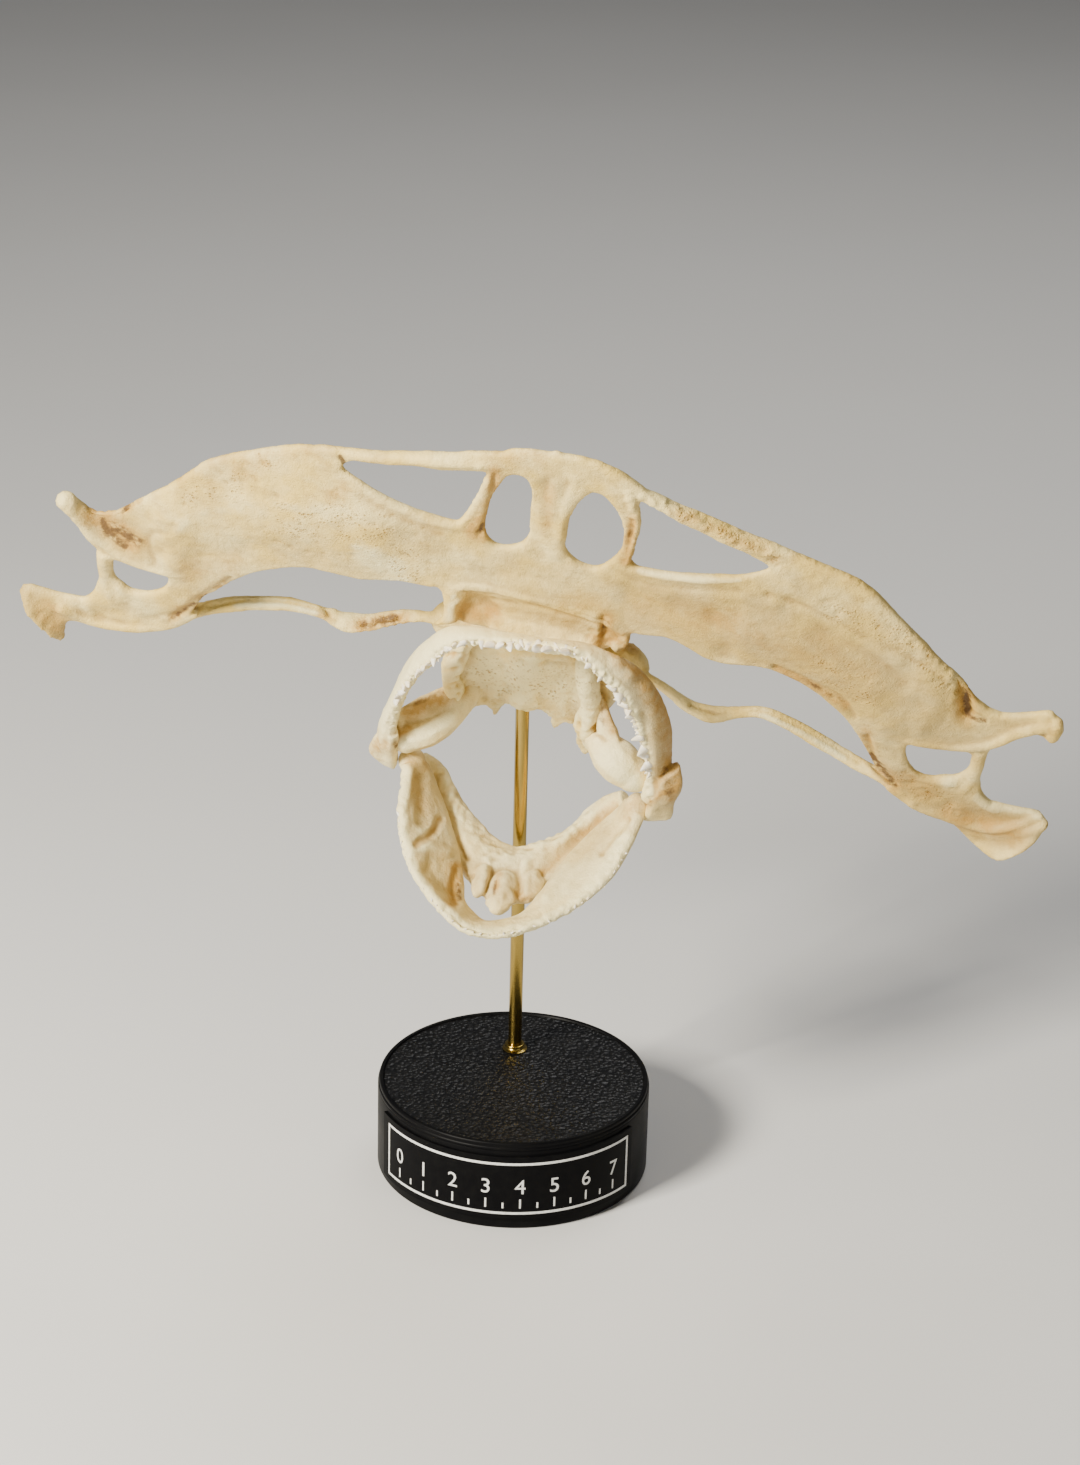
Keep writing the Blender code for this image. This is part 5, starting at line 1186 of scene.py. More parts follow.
# %% Make the tongue arch and the jaw supports
ARCH_RIPPLE = 0.28
SUPPORT_RIPPLE = 0.3
ARCH_FOLDS = [
    ([(-22.2, -86, 7), (-18.4, -86, 16.6), (-14.9, -86, 21.7), (-7.3, -86, 31.7)], 2.0, -1.0),
    ([(-21.5, -88, 3.8), (-15, -88, 14.4), (-9.8, -88, 20.8), (-3.4, -88, 26), (3.6, -88, 27.5)], 2.6, 0.6),
    ([(15, -87, 30), (17.6, -87, 24.3), (21.3, -87, 17.7), (25.6, -87, 10.4), (29.2, -87, 3.3)], 2.8, -1.2),
    ([(10.3, -88, 21.4), (15.8, -88, 19.5), (19.9, -88, 14.4), (23.7, -88, 8.2),
      (28.2, -88, 1.7)], 1.8, 0.7), ([(2.2, -88, 36), (2.6, -88, 40)], 1.3, -0.5),
    ([(-4.2, -88, 36), (-4.4, -88, 40)], 1.2, -0.4), ([(10.2, -88, 34), (10.4, -88, 38)], 1.3, -0.5),
    ([(4.6, -90, 34), (5.4, -90, 43)], 2.4, 0.5), ([(-2, -92, 28), (-1, -92, 38)], 1.6, 0.8),
    ([(9, -92, 26), (11, -91, 36)], 2.0, 0.8), ([(-12, -91, 22), (0, -92, 28), (12, -91, 22)], 3.0, 0.6),
]
ARCH_BANDS = [
    ([(-21, -88, 6), (-11, -92, 16), (0, -92, 24), (12, -92, 18), (24, -89, 6)], 5.0, 0.5, 1.9),
    ([(-8, -89, 36), (0, -89, 42), (10, -88, 40)], 6.0, 0.8, 2.2),
]
ARCH_MARKS = {
    "stain": [
        ([(15, -87, 30), (21.3, -87, 17.7), (29.2, -87, 3.3)], 2.8, 0.5),
        ([(2.6, -88, 34), (2.8, -88, 38)], 2.2, 0.6), ([(-9, -90, 34), (-6, -90, 40)], 3.0, 0.6),
        ([(10, -88, 40), (13, -87, 40)], 3.0, 0.6),
    ],
    # Painted shade in the arch's middle and along its right arm.
    "shade": [
        ([(-8, -90, 32), (2, -91, 38), (12, -90, 34)], 6.0, 0.7), ([(15, -90, 26), (27, -88, 8)], 5.0, 0.6),
    ],
    "burn": [([(2.2, -88, 36), (2.6, -88, 40)], 1.0, 0.5), ([(-8, -88, 36), (-7, -88, 41)], 1.4, 0.5)],
    "chalk": [([(-21, -88, 6), (-11, -92, 18), (0, -92, 26), (12, -92, 20), (24, -89, 6)], 5.0, 0.45)],
}
SUPPORT_MARKS = {
    "jaw_support_left": {
        "stain": [([(-20, -53, -2), (-32, -62, 3)], 4.5, 1.0), ([(-32, -68, 6), (-35, -70, 8)], 3.0, 0.7)],
        "burn": [([(-24, -55, -1), (-33, -61, 2)], 1.6, 0.4)],
        "chalk": [([(-21, -63, 2), (-31, -69, 9)], 4.5, 0.7)],
    },
    "jaw_support_right": {
        "stain": [([(21, -44, -5), (27, -52, -1)], 5.5, 0.9), ([(36, -62, 6), (38, -66, 8)], 3.0, 0.7)],
        "burn": [([(21, -45, -5), (22, -56, -3)], 1.8, 0.4)],
        "chalk": [([(26, -58, 5), (34, -62, 9)], 6.0, 1.0)],
    },
}


def make_support(name, stations, flange):
    """One jaw support with its thin flange."""
    points = [middle for middle, radius in stations]
    radii = [radius for middle, radius in stations]
    meshes = [tube_mesh(name, points, radii), blade_mesh(name + "_flange", flange, fullness=0.9)]
    for number, (middle, radius) in enumerate((stations[0], stations[-1])):
        meshes.append(lump_mesh(f"{name}_end_{number}", middle, (radius, radius, radius)))
    support = fuse(name + "_cartilage", meshes, JAW_SKIN, BAR_SOFTENING)
    keep_largest(support.data)
    ripple(support, SUPPORT_RIPPLE, [])
    paint_marks(support, SUPPORT_MARKS[name], JAW_HOLLOW_ROUNDS, JAW_HOLLOW_DEPTH)
    put_in_pose(support, jaw_bone)
    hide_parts(name)
    return support


make_support("jaw_support_left", LEFT_SUPPORT, LEFT_FLANGE)
make_support("jaw_support_right", RIGHT_SUPPORT, RIGHT_FLANGE)

arch_meshes = [blade_mesh("arch", TONGUE_ARCH)]
for number, (middle, sizes) in enumerate(TONGUE_LOBES):
    arch_meshes.append(lump_mesh(f"lobe_{number}", middle, sizes))
arch = fuse("tongue_arch_cartilage", arch_meshes, JAW_SKIN, JAW_SOFTENING)
carve(arch, ARCH_FOLDS)
keep_largest(arch.data)
ripple(arch, ARCH_RIPPLE, ARCH_BANDS)
paint_marks(arch, ARCH_MARKS, JAW_HOLLOW_ROUNDS, JAW_HOLLOW_DEPTH)
put_in_pose(arch, jaw_bone)
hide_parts("tongue_arch")
print("tongue arch has", len(arch.data.polygons), "faces")

# %% [markdown]
# ## Teeth
#
# A small hammerhead's teeth are low slanted blades, a few millimetres long, that stand in files
# and break off easily, so the tooth band looks ragged. Geometry Nodes repeat one tooth along the
# jaw's edge: the edge is a line of points that also carry the direction that a tooth should take.
# Size and lean are random with a fixed seed. Realize Instances turns the copies into a mesh.

# %% One tooth and its finish
TOOTH_RINGS = ((-0.35, 1.2, 0.0), (0.0, 1.12, 0.0), (0.35, 0.86, 0.03), (0.7, 0.52, 0.08), (0.92, 0.28, 0.12),
               (1.0, 0.13, 0.14))
TOOTH_THICKNESS = 0.6
TOOTH_SIDES = 8


def clouded(finish, clouds, level, softness, colours, rough, relief):
    """A finish in two colours, mixed by clouds that also change its gloss and raise it a little."""
    return finish.feed(Base_Color=finish.mix(clouds.above(level, softness), *colours),
                       Roughness=rough[0] + clouds * rough[1],
                       Normal=finish.bump(clouds, relief * MM, strength=0.5))


enamel = Finish("tooth_enamel", (0.90, 0.87, 0.78), 0.34)
tooth_clouds = enamel.clouds(enamel.places(Scale=(MM, MM, MM)), 0.7, 4.0)
tooth_colours = ((0.84, 0.74, 0.54), (0.94, 0.92, 0.85))
clouded(enamel, tooth_clouds, 0.42, 0.3, tooth_colours, (0.28, 0.3), 0.15)


def tooth_form():
    """A tooth one unit high and wide: an oval loft that leans towards its tip."""
    bm = bmesh.new()
    rings = []
    for height, width, lean in TOOTH_RINGS:
        ring = []
        for turn in np.linspace(0.0, 2.0 * math.pi, TOOTH_SIDES, endpoint=False):
            x = 0.5 * width * math.cos(turn) + lean
            y = 0.5 * width * TOOTH_THICKNESS * math.sin(turn)
            ring.append(bm.verts.new((x, y, height)))
        rings.append(ring)
    join_rings(bm, rings)
    bm.faces.new(list(reversed(rings[0])))
    bm.faces.new(rings[-1])
    tooth = add_object("tooth_form", mesh_from(bm, "tooth_form"))
    tooth.data.shade_smooth()
    return tooth


# %% A Geometry Nodes tree that repeats a form along a line
def new_recipe(name, inputs):
    """A Geometry Nodes tree with named inputs, a way to add its nodes, and its input node."""
    tree = bpy.data.node_groups.new(name, "GeometryNodeTree")
    tree.interface.new_socket("Geometry", in_out="INPUT", socket_type="NodeSocketGeometry")
    for title, kind in inputs:
        tree.interface.new_socket(title, in_out="INPUT", socket_type=kind)
    tree.interface.new_socket("Geometry", in_out="OUTPUT", socket_type="NodeSocketGeometry")
    return tree, partial(add_node, tree), tree.nodes.new("NodeGroupInput")


def used(node, name=None):
    """The output of a node that is in use, the first one or the one of that name."""
    return next(socket for socket in node.outputs if socket.enabled and name in (None, socket.name))


def end_recipe(tree, add, given, copies):
    """Make the copies real, give them their finish and hand them on."""
    solid = add("GeometryNodeRealizeInstances", {}, {"Geometry": used(copies)})
    finished = add("GeometryNodeSetMaterial", {},
                   {"Geometry": used(solid), "Material": used(given, "Finish")})
    add("NodeGroupOutput", {}, {"Geometry": used(finished)})
    return tree


def tooth_row_recipe():
    tree, add, given = new_recipe("tooth_row", [
        ("Tooth", "NodeSocketObject"), ("Count", "NodeSocketInt"), ("Smallest", "NodeSocketFloat"),
        ("Largest", "NodeSocketFloat"), ("Lean", "NodeSocketFloat"), ("Seed", "NodeSocketInt"),
        ("Finish", "NodeSocketMaterial")])
    line = add("GeometryNodeMeshToCurve", {}, {"Mesh": used(given, "Geometry")})
    points = add("GeometryNodeResampleCurve", {}, {"Curve": used(line), "Count": used(given, "Count")})
    out = add("GeometryNodeInputNamedAttribute", {"data_type": "FLOAT_VECTOR"}, {"Name": "out"})
    upright = add("FunctionNodeAlignRotationToVector", {"axis": "Z"}, {"Vector": used(out)})
    tangent = add("GeometryNodeInputTangent", {}, {})
    aligned = add("FunctionNodeAlignRotationToVector", {"axis": "X", "pivot_axis": "Z"},
                  {"Rotation": used(upright), "Vector": used(tangent)})
    less = add("ShaderNodeMath", {"operation": "MULTIPLY"}, {0: used(given, "Lean"), 1: -1.0})
    ends = [add("ShaderNodeCombineXYZ", {}, {0: value, 1: value, 2: value})
            for value in (used(less), used(given, "Lean"))]
    tilt = add("FunctionNodeRandomValue", {"data_type": "FLOAT_VECTOR"},
               {"Min": used(ends[0]), "Max": used(ends[1]), "Seed": used(given, "Seed")})
    turned_by = add("FunctionNodeRotateRotation", {"rotation_space": "LOCAL"},
                    {"Rotation": used(aligned), "Rotate By": used(tilt)})
    size = add("FunctionNodeRandomValue", {"data_type": "FLOAT"},
               {"Min": used(given, "Smallest"), "Max": used(given, "Largest"),
                "Seed": used(given, "Seed")})
    copies = add("GeometryNodeInstanceOnPoints", {}, {"Points": used(points), "Rotation": used(turned_by),
                                                      "Scale": used(size)})
    form = add("GeometryNodeObjectInfo", {}, {"Object": used(given, "Tooth")})
    tree.links.new(used(form, "Geometry"), copies.inputs["Instance"])
    return end_recipe(tree, add, given, copies)


def run_recipe(made, tree, inputs):
    """Give the tree its inputs by their identifiers, then keep its result as a plain mesh."""
    step = made.modifiers.new("recipe", "NODES")
    step.node_group = tree
    for item in tree.interface.items_tree:
        if item.in_out == "INPUT" and item.name in inputs:
            step[item.identifier] = inputs[item.name]
    return bake(made)


# %% Set the teeth along both jaws
TOOTH_SUNK = 0.25
tooth_rows = tooth_row_recipe()
tooth = tooth_form()


def edge_line(name, stations, toothed_edge, inward, shift, ends):
    """The jaw's tooth edge as a line of points, each with the direction its tooth takes."""
    run = smooth_rows([(*a, *b, t) for a, b, t in stations], 12)
    edge = run[:, 3:6] if toothed_edge else run[:, :3]
    rear = run[:, :3] if toothed_edge else run[:, 3:6]
    out = (edge - rear) / np.linalg.norm(edge - rear, axis=1, keepdims=True)
    way = out + np.array(inward)
    way /= np.linalg.norm(way, axis=1, keepdims=True)
    places = (edge - out * TOOTH_SUNK + np.array(shift)) * MM
    first, last = (round(share * len(run)) for share in ends)
    bm = bmesh.new()
    join_points(bm, places[first:last])
    line = add_object(name, mesh_from(bm, name))
    arrow = line.data.attributes.new("out", "FLOAT_VECTOR", "POINT")
    arrow.data.foreach_set("vector", way[first:last].ravel())
    return line


def set_teeth(line, count, sizes, lean, seed):
    """A row of teeth on its line, in the skull's pose."""
    row = run_recipe(line, tooth_rows, {"Tooth": tooth, "Count": count, "Smallest": sizes[0] * MM,
                                        "Largest": sizes[1] * MM, "Lean": lean, "Seed": seed,
                                        "Finish": enamel.material})
    put_in_pose(row, enamel.material)
    print(row.name, "has", count, "teeth and", len(row.data.polygons), "faces")


UPPER_ENDS = (0.13, 0.93)
LOWER_ENDS = (0.12, 0.92)
# Name, jaw, turn and shift of the row, its ends, count, smallest and largest, lean and seed
TOOTH_ROWS = [
    ("upper_teeth_front", UPPER_JAW, True, (0, 0, 0.25), (0, 0, 0), UPPER_ENDS, 50, (0.8, 3.1), 0.8, 3),
    ("upper_teeth_behind", UPPER_JAW, True, (0, 0, -0.2), (0, 0, -1.3), UPPER_ENDS, 54, (0.7, 2.5), 0.9, 8),
    ("lower_teeth_front", LOWER_JAW, False, (0, 0.9, 0), (0, 0, 0), LOWER_ENDS, 46, (0.3, 1.1), 0.9, 5),
    ("lower_teeth_behind", LOWER_JAW, False, (0, 0.3, 0), (0, -0.9, 0), LOWER_ENDS, 44, (0.3, 1.0), 0.9, 13),
]
for name, stations, toothed_edge, inward, shift, ends, count, sizes, lean, seed in TOOTH_ROWS:
    line = edge_line(name, stations, toothed_edge, inward, shift, ends)
    set_teeth(line, count, sizes, lean, seed)
bpy.data.objects.remove(tooth, do_unlink=True)

# %% [markdown]
# ## The stand
#
# The base is a turned block, painted satin black, with a rolled lip and a pebbled top like cast
# leather. A profile and the Screw modifier make every turned piece. The pebbles are real: the top
# is a fine disc whose points rise over the cells of a noise, so they show in the mesh as well.

# %% Finishes of the stand
black_paint = Finish("black_paint", (0.012, 0.012, 0.013), 0.42, gloss=0.07)
paint_place = black_paint.places(Scale=(MM, MM, MM))
dust = black_paint.clouds(paint_place, 0.09, 5.0, 0.6)
paint_grain = black_paint.clouds(paint_place, 2.6, 3.0)
paint_colour = black_paint.mix(dust.above(0.45, 0.4), (0.0025, 0.0025, 0.003), (0.006, 0.006, 0.0055))
paint_bump = black_paint.bump(paint_grain, 0.04 * MM, strength=0.6)
black_paint.feed(Base_Color=paint_colour, Roughness=0.3 + dust * 0.25, Normal=paint_bump)

pebbled_paint = Finish("pebbled_paint", (0.012, 0.012, 0.013), 0.4, gloss=0.25)
top_place = pebbled_paint.places(Scale=(MM, MM, MM))
cells = pebbled_paint.add("ShaderNodeTexVoronoi", {"feature": "SMOOTH_F1"},
                          {"Vector": top_place, "Scale": 0.8, "Smoothness": 0.5})
fine_cells = pebbled_paint.add("ShaderNodeTexVoronoi", {"feature": "F1"}, {"Vector": top_place, "Scale": 1.9})
haze = pebbled_paint.clouds(top_place, 0.06, 3.0)
top_colour = pebbled_paint.mix(cells.above(0.25, 0.5), (0.006, 0.0058, 0.0055), (0.002, 0.002, 0.0022))
top_bump = pebbled_paint.bump(1.0 - cells, 0.45 * MM, strength=0.8)
top_bump = pebbled_paint.bump(1.0 - fine_cells, 0.12 * MM, top_bump, strength=0.6)
pebbled_paint.feed(Base_Color=top_colour, Roughness=0.22 + haze * 0.2, Normal=top_bump)

brass = Finish("polished_brass", (0.50, 0.32, 0.07), 0.2, 1.0)
brass_place = brass.places(Scale=(MM, MM, 22.0 * MM))
drawn_lines = brass.clouds(brass_place, 3.0, 3.0)
tarnish = brass.clouds(brass.places(Scale=(MM, MM, 9.0 * MM)), 0.8, 4.0)
brass_colour = brass.mix(tarnish.above(0.4, 0.35) * 0.4, (0.40, 0.28, 0.07), (0.26, 0.17, 0.035))
brass.feed(Base_Color=brass_colour, Roughness=0.16 + tarnish * 0.12,
           Normal=brass.bump(drawn_lines, 0.01 * MM, strength=0.3))

label_tape = Finish("label_tape", (0.010, 0.010, 0.011), 0.5, gloss=0.05)
tape_clouds = label_tape.clouds(label_tape.places(Scale=(MM, MM, MM)), 0.4, 5.0)
tape_colours = ((0.0025, 0.0025, 0.003), (0.005, 0.005, 0.005))
clouded(label_tape, tape_clouds, 0.4, 0.4, tape_colours, (0.42, 0.2), 0.03)

white_print = Finish("white_print", (0.85, 0.85, 0.83), 0.5)
print_clouds = white_print.clouds(white_print.places(Scale=(MM, MM, MM)), 1.5, 4.0)
print_colour = white_print.mix(print_clouds.above(0.35, 0.4), (0.62, 0.62, 0.60), (0.90, 0.90, 0.88))
white_print.feed(Base_Color=print_colour, Roughness=0.45 + print_clouds * 0.2)

# %% Turned pieces: base, rod and ring
BASE_RADIUS = 40.0
BASE_HEIGHT = 28.0
TOP_SUNK = 0.4
ROD_RADIUS = 2.0
ROD_BACK = 17.0
ROD_BOTTOM = 18.3
ROD_TOP = 152.0
COLLAR_RADIUS = 3.7
COLLAR_HEIGHT = 1.8
GAP = 0.3
SHARP_ANGLE = 40.0


def turned(name, profile, steps, place, material):
    """A round piece from a profile of (radius, height), outer side from top to bottom."""
    bm = bmesh.new()
    join_points(bm, [(radius * MM, 0, height * MM) for radius, height in profile])
    made = add_object(name, mesh_from(bm, name))
    screw = made.modifiers.new("turn", "SCREW")
    screw.steps = steps
    screw.render_steps = steps
    screw.use_merge_vertices = True
    screw.merge_threshold = 0.02 * MM
    bake(made)
    close_up(made.data, 0.002)
    made.data.transform(Matrix.Translation(Vector(place) * MM))
    made.data.shade_smooth()
    made.data.set_sharp_from_angle(angle=math.radians(SHARP_ANGLE))
    return dress(made, material)


def rounded(middle, radius, start, end, steps):
    """Points of a round corner of a profile, between two angles in degrees."""
    turns = [math.radians(start + (end - start) * step / steps) for step in range(steps + 1)]
    return [(middle[0] + radius * math.sin(turn), middle[1] + radius * math.cos(turn)) for turn in turns]


# Sunk top, rolled lip, the groove below it, side and lower edge
base_profile = [(0, BASE_HEIGHT - 2.0), (BASE_RADIUS - 2.4, BASE_HEIGHT - 2.0)]
base_profile += rounded((BASE_RADIUS - 1.1, BASE_HEIGHT - 0.75), 0.75, -50, 110, 12)
base_profile += rounded((BASE_RADIUS - 0.72, BASE_HEIGHT - 1.95), 0.7, 30, 115, 8)
base_profile += [(BASE_RADIUS - 0.15, BASE_HEIGHT - 2.45), (BASE_RADIUS, BASE_HEIGHT - 2.8)]
base_profile += [(BASE_RADIUS, 1.0)]
base_profile += rounded((BASE_RADIUS - 0.8, 0.8), 0.8, 90, 180, 6)
base_profile += [(0, 0)]
base = turned("base_block", base_profile, 160, (0, 0, 0), black_paint.material)
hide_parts("stand_base")

rod_profile = [(0, ROD_TOP - ROD_BOTTOM)]
rod_profile += rounded((ROD_RADIUS - 0.3, ROD_TOP - ROD_BOTTOM - 0.3), 0.3, 0, 90, 4)
rod_profile += [(ROD_RADIUS, 30.0 * step) for step in (4, 3, 2, 1)]
rod_profile += rounded((ROD_RADIUS - 0.3, 0.3), 0.3, 90, 180, 4)
rod_profile += [(0, 0)]
rod = turned("brass_rod", rod_profile, 64, (0, ROD_BACK, ROD_BOTTOM), brass.material)
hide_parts("stand_rod")

bore = ROD_RADIUS + 0.1
ring_profile = [(bore, COLLAR_HEIGHT)]
ring_profile += rounded((bore + 0.5, COLLAR_HEIGHT - 0.4), 0.4, 0, 90, 6)
ring_profile += rounded((COLLAR_RADIUS - 0.2, 1.2), 1.0, 250, 180, 6)
ring_profile += [(COLLAR_RADIUS, 0.12), (COLLAR_RADIUS, 0), (bore, 0), (bore, COLLAR_HEIGHT)]
ring_bottom = BASE_HEIGHT - TOP_SUNK + 0.05
ring = turned("brass_ring", ring_profile, 96, (0, ROD_BACK, ring_bottom), brass.material)
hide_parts("stand_collar")
print("base, rod and ring turned")

# %% The pebbled top
TOP_RADIUS = BASE_RADIUS - 1.55
TOP_RINGS = 90
TOP_SPOKES = 240
TOP_DEPTH = 1.2
PEBBLE_SIZE = 1.25
PEBBLE_HEIGHT = 0.22
PEBBLE_STEEPNESS = 2.2
PEBBLE_SUNK = 0.25
FLAT_RIM = 1.0

bm = bmesh.new()
rings = [[bm.verts.new((0, 0, 0))]]
for ring_number in range(1, TOP_RINGS + 1):
    radius = TOP_RADIUS * ring_number / TOP_RINGS
    turns = np.linspace(0.0, 2.0 * math.pi, TOP_SPOKES, endpoint=False)
    circle = [Vector((math.cos(turn), math.sin(turn), 0)) * radius * MM for turn in turns]
    rings.append([bm.verts.new(point) for point in circle])
for i in range(TOP_SPOKES):
    bm.faces.new((rings[0][0], rings[1][i], rings[1][(i + 1) % TOP_SPOKES]))
rings.append([bm.verts.new((vert.co.x, vert.co.y, -TOP_DEPTH * MM)) for vert in rings[-1]])
join_rings(bm, rings[1:])
bm.faces.new(list(reversed(rings[-1])))
bmesh.ops.recalc_face_normals(bm, faces=bm.faces)
top = add_object("pebbled_top", mesh_from(bm, "pebbled_top"))
spots = positions_of(top.data)
upper_side = spots[:, 2] > -0.5 * TOP_DEPTH
rise = np.zeros(len(spots))
for number in np.flatnonzero(upper_side):
    near, far = noise.voronoi(Vector(spots[number] / PEBBLE_SIZE))[0][:2]
    rise[number] = PEBBLE_HEIGHT * min(1.0, PEBBLE_STEEPNESS * (far - near))
edge = np.clip((TOP_RADIUS - np.hypot(spots[:, 0], spots[:, 1])) / FLAT_RIM, 0.0, 1.0)
spots[:, 2] += BASE_HEIGHT - TOP_SUNK - PEBBLE_SUNK + rise * edge
set_positions(top.data, spots)
top.data.shade_smooth()
dress(top, pebbled_paint.material)
print("pebbled top has", len(top.data.polygons), "faces")

# %% [markdown]
# The label is a strip of black tape round the front, with a white frame line and a centimetre
# scale. The marks of the scale repeat by a second small Geometry Nodes tree, on an arc, with
# every second mark shorter. The numbers are text made a mesh and bent round the base.

# %% The label, its frame and its scale
LABEL_BOTTOM = 3.6
LABEL_TOP = 24.2
LABEL_THICKNESS = 0.6
LABEL_ENDS = (-66.0, 58.0)
FRAME_BOTTOM = 5.4
FRAME_TOP = 22.3
FRAME_ENDS = (-61.0, 55.0)
LINE_WIDTH = 0.75
PRINT_PROUD = 0.05
SCALE_LENGTH = 70.0
MARK_SPACING = 5.0
NUMBER_HEIGHT = 4.6
NUMBER_GAP = 1.8
LETTER_SHARE = 1.45
FRAME_MIDDLE = 0.5 * sum(FRAME_ENDS)
label_radius = BASE_RADIUS + GAP + LABEL_THICKNESS


def arc_band(bm, inner, outer, low, high, start, end, steps):
    """A curved closed strip round the base's front; angles in degrees from the middle."""
    rows = []
    for step in range(steps + 1):
        turn = math.radians(-90.0 + start + (end - start) * step / steps)
        across = Vector((math.cos(turn), math.sin(turn), 0))
        corners = ((inner, low), (outer, low), (outer, high), (inner, high))
        points = [across * radius + Vector((0, 0, height)) for radius, height in corners]
        rows.append([bm.verts.new(point * MM) for point in points])
    join_rings(bm, rows)
    bm.faces.new(list(reversed(rows[0])))
    bm.faces.new(rows[-1])


bm = bmesh.new()
arc_band(bm, BASE_RADIUS + 0.02, label_radius, LABEL_BOTTOM, LABEL_TOP, *LABEL_ENDS, 96)
bmesh.ops.recalc_face_normals(bm, faces=bm.faces)
label = add_object("label_strip", mesh_from(bm, "label_strip"))
dress(label, label_tape.material)
label.data.shade_smooth()
label.data.set_sharp_from_angle(angle=math.radians(SHARP_ANGLE))
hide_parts("stand_label")

bm = bmesh.new()
line_angle = math.degrees(LINE_WIDTH / label_radius)
side_bottom = FRAME_BOTTOM + LINE_WIDTH
side_top = FRAME_TOP - LINE_WIDTH
for low, high, start, end in (
        (FRAME_BOTTOM, side_bottom, *FRAME_ENDS),
        (side_top, FRAME_TOP, *FRAME_ENDS),
        (side_bottom, side_top, FRAME_ENDS[0], FRAME_ENDS[0] + line_angle),
        (side_bottom, side_top, FRAME_ENDS[1] - line_angle, FRAME_ENDS[1])):
    arc_band(bm, label_radius - 0.02, label_radius + PRINT_PROUD, low, high, start, end, 96)
bmesh.ops.recalc_face_normals(bm, faces=bm.faces)
label_frame = add_object("label_frame", mesh_from(bm, "label_frame"))
dress(label_frame, white_print.material)


def scale_recipe():
    tree, add, given = new_recipe("scale_marks", [
        ("Marks", "NodeSocketInt"), ("Radius", "NodeSocketFloat"), ("Sweep", "NodeSocketFloat"),
        ("Finish", "NodeSocketMaterial")])
    half = add("ShaderNodeMath", {"operation": "MULTIPLY_ADD"}, {0: used(given, "Sweep"), 1: -0.5,
                                                                 2: math.radians(FRAME_MIDDLE - 90.0)})
    arc = add("GeometryNodeCurveArc", {"mode": "RADIUS"},
              {"Resolution": used(given, "Marks"), "Radius": used(given, "Radius"), "Start Angle": used(half),
               "Sweep Angle": used(given, "Sweep")})
    tangent = add("GeometryNodeInputTangent", {}, {})
    turn = add("FunctionNodeAlignRotationToVector", {"axis": "X", "pivot_axis": "Z"},
               {"Vector": used(tangent)})
    number = add("GeometryNodeInputIndex", {}, {})
    odd = add("ShaderNodeMath", {"operation": "MODULO"}, {0: used(number), 1: 2.0})
    length = add("ShaderNodeMath", {"operation": "MULTIPLY_ADD"}, {0: used(odd), 1: -0.4, 2: 1.0})
    size = add("ShaderNodeCombineXYZ", {}, {0: 1.0, 1: 1.0, 2: used(length)})
    copies = add("GeometryNodeInstanceOnPoints", {},
                 {"Points": used(arc), "Instance": used(given, "Geometry"), "Rotation": used(turn),
                  "Scale": used(size)})
    return end_recipe(tree, add, given, copies)


MARK_LENGTH = 3.0
MARK_WIDTH = 0.5
scale_low = FRAME_BOTTOM + 2.0
sweep = SCALE_LENGTH / label_radius
bm = bmesh.new()
mark_size = Matrix.Diagonal((MARK_WIDTH * MM, 2.0 * PRINT_PROUD * MM, MARK_LENGTH * MM, 1.0))
mark_place = Matrix.Translation((0, 0, 0.5 * MARK_LENGTH * MM))
bmesh.ops.create_cube(bm, size=1.0, matrix=mark_place @ mark_size)
marks = add_object("scale_marks", mesh_from(bm, "scale_marks"))
run_recipe(marks, scale_recipe(), {
    "Marks": round(SCALE_LENGTH / MARK_SPACING) + 1, "Radius": label_radius * MM, "Sweep": sweep,
    "Finish": white_print.material})
marks.data.transform(Matrix.Translation((0, 0, scale_low * MM)))
dress(marks, white_print.material)

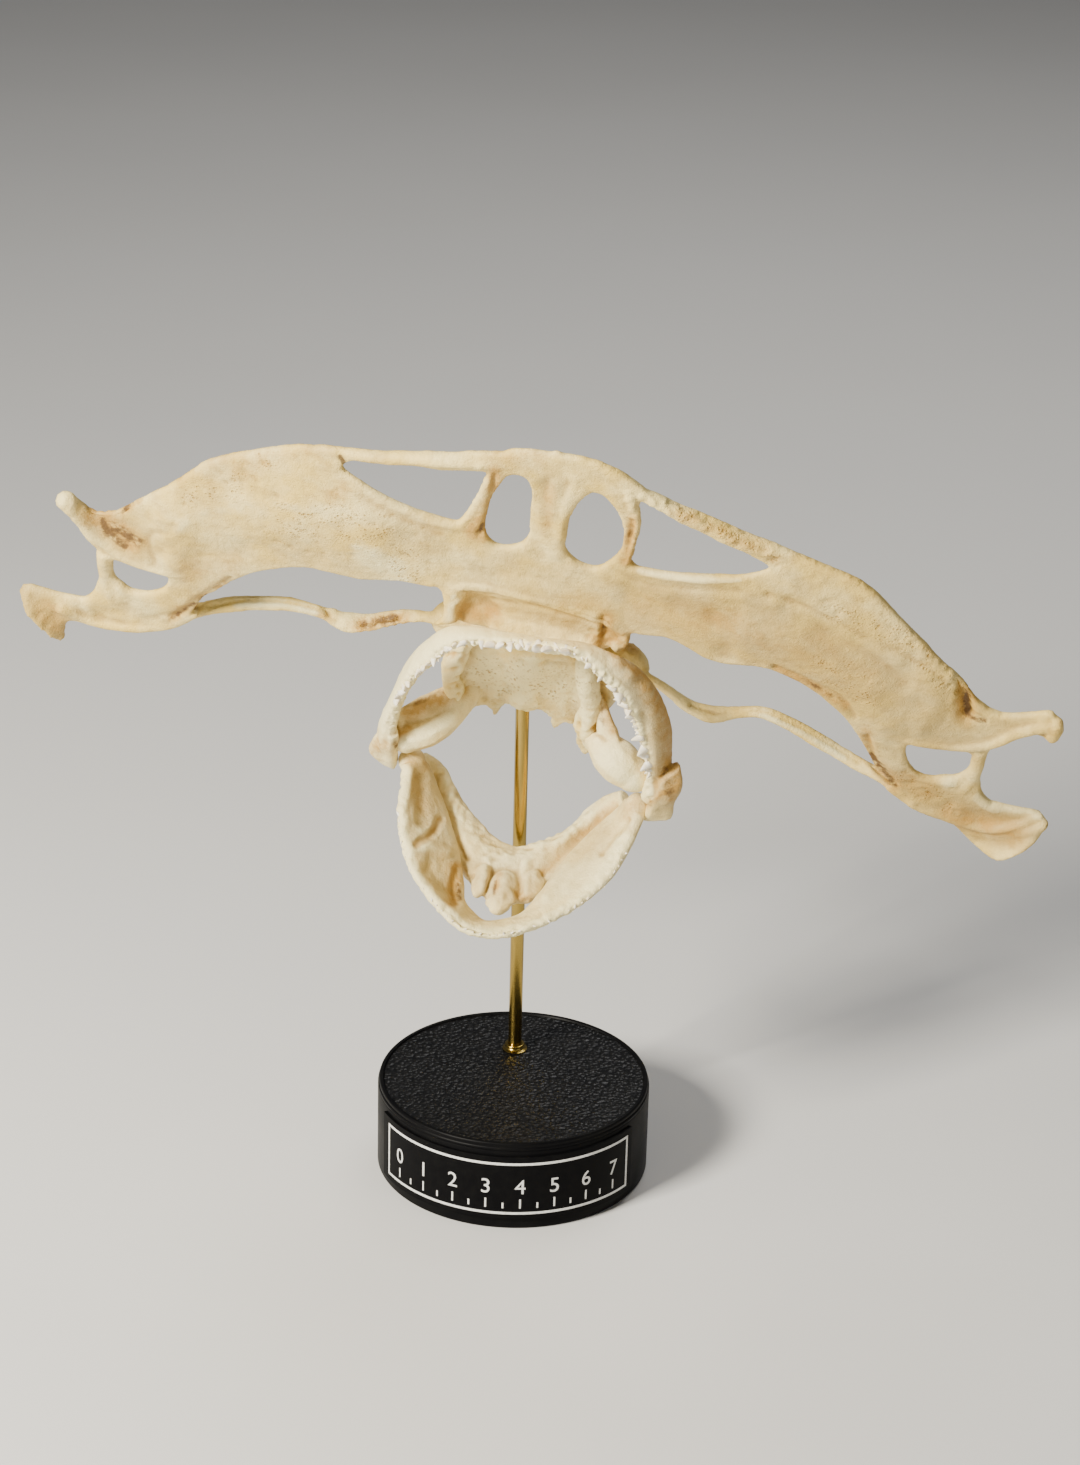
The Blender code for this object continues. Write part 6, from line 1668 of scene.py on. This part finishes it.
for centimetre in range(round(SCALE_LENGTH / 10.0) + 1):
    text = bpy.data.curves.new(f"scale_number_{centimetre}", "FONT")
    text.body = str(centimetre)
    text.size = NUMBER_HEIGHT * LETTER_SHARE * MM
    text.align_x = "CENTER"
    text.extrude = PRINT_PROUD * MM
    words = add_object(text.name, text)
    bpy.context.view_layer.update()
    number_mesh = evaluated_mesh(words)
    bpy.data.objects.remove(words, do_unlink=True)
    number_piece = add_object(f"scale_number_{centimetre}", number_mesh)
    turn = sweep * (centimetre * 10.0 / SCALE_LENGTH - 0.5) + math.radians(FRAME_MIDDLE)
    spots = positions_of(number_piece.data)
    angles = spots[:, 0] / label_radius + turn
    radii = label_radius + spots[:, 2]
    bent = np.column_stack([radii * np.sin(angles), -radii * np.cos(angles),
                            spots[:, 1] + scale_low + MARK_LENGTH + NUMBER_GAP])
    set_positions(number_piece.data, bent)
    dress(number_piece, white_print.material)
print("label, frame and scale made")

# %% [markdown]
# ## Floor and light
#
# A wide pale floor fills the picture, and three soft lights model the skull: the main one from
# the upper left in front, a weak one from the right, and one from behind that draws a thin bright
# edge. The world adds a little even light, so that the hollows stay readable.

# %% Floor, lights and sky
floor_finish = Finish("pale_floor", (0.68, 0.67, 0.65), 0.8)
floor_clouds = floor_finish.clouds(floor_finish.places(), 3.0, 5.0)
floor_colour = floor_finish.mix(floor_clouds, (0.66, 0.65, 0.63), (0.71, 0.70, 0.68))
floor_finish.feed(Base_Color=floor_colour, Roughness=0.7 + floor_clouds * 0.15)

FLOOR_SIZE = 9.0
bm = bmesh.new()
bmesh.ops.create_grid(bm, x_segments=8, y_segments=8, size=0.5 * FLOOR_SIZE)
floor = add_object("pale_floor", mesh_from(bm, "pale_floor"))
floor.data.materials.append(floor_finish.material)


def area_light(name, place, target, size, power, colour):
    """A square soft light turned towards a target."""
    data = bpy.data.lights.new(name, "AREA")
    data.size = size
    data.energy = power
    data.color = colour
    light = bpy.data.objects.new(name, data)
    light.location = place
    light.rotation_euler = (Vector(target) - Vector(place)).to_track_quat("-Z", "Y").to_euler()
    bpy.context.scene.collection.objects.link(light)


MIDDLE = (0.0, 0.0, 0.17)
area_light("main_light", (-0.60, -0.54, 0.60), MIDDLE, 0.24, 25.0, (1.0, 0.95, 0.84))
area_light("right_light", (1.1, -0.9, 0.55), MIDDLE, 0.9, 1.2, (1.0, 0.99, 0.97))
area_light("back_light", (0.35, 0.7, 1.3), MIDDLE, 0.7, 8.0, (1.0, 1.0, 1.0))

sky = bpy.data.worlds.new("soft_sky")
sky.use_nodes = True
sky.node_tree.nodes["Background"].inputs["Color"].default_value = (0.93, 0.95, 1.0, 1.0)
sky.node_tree.nodes["Background"].inputs["Strength"].default_value = 0.12
bpy.context.scene.world = sky
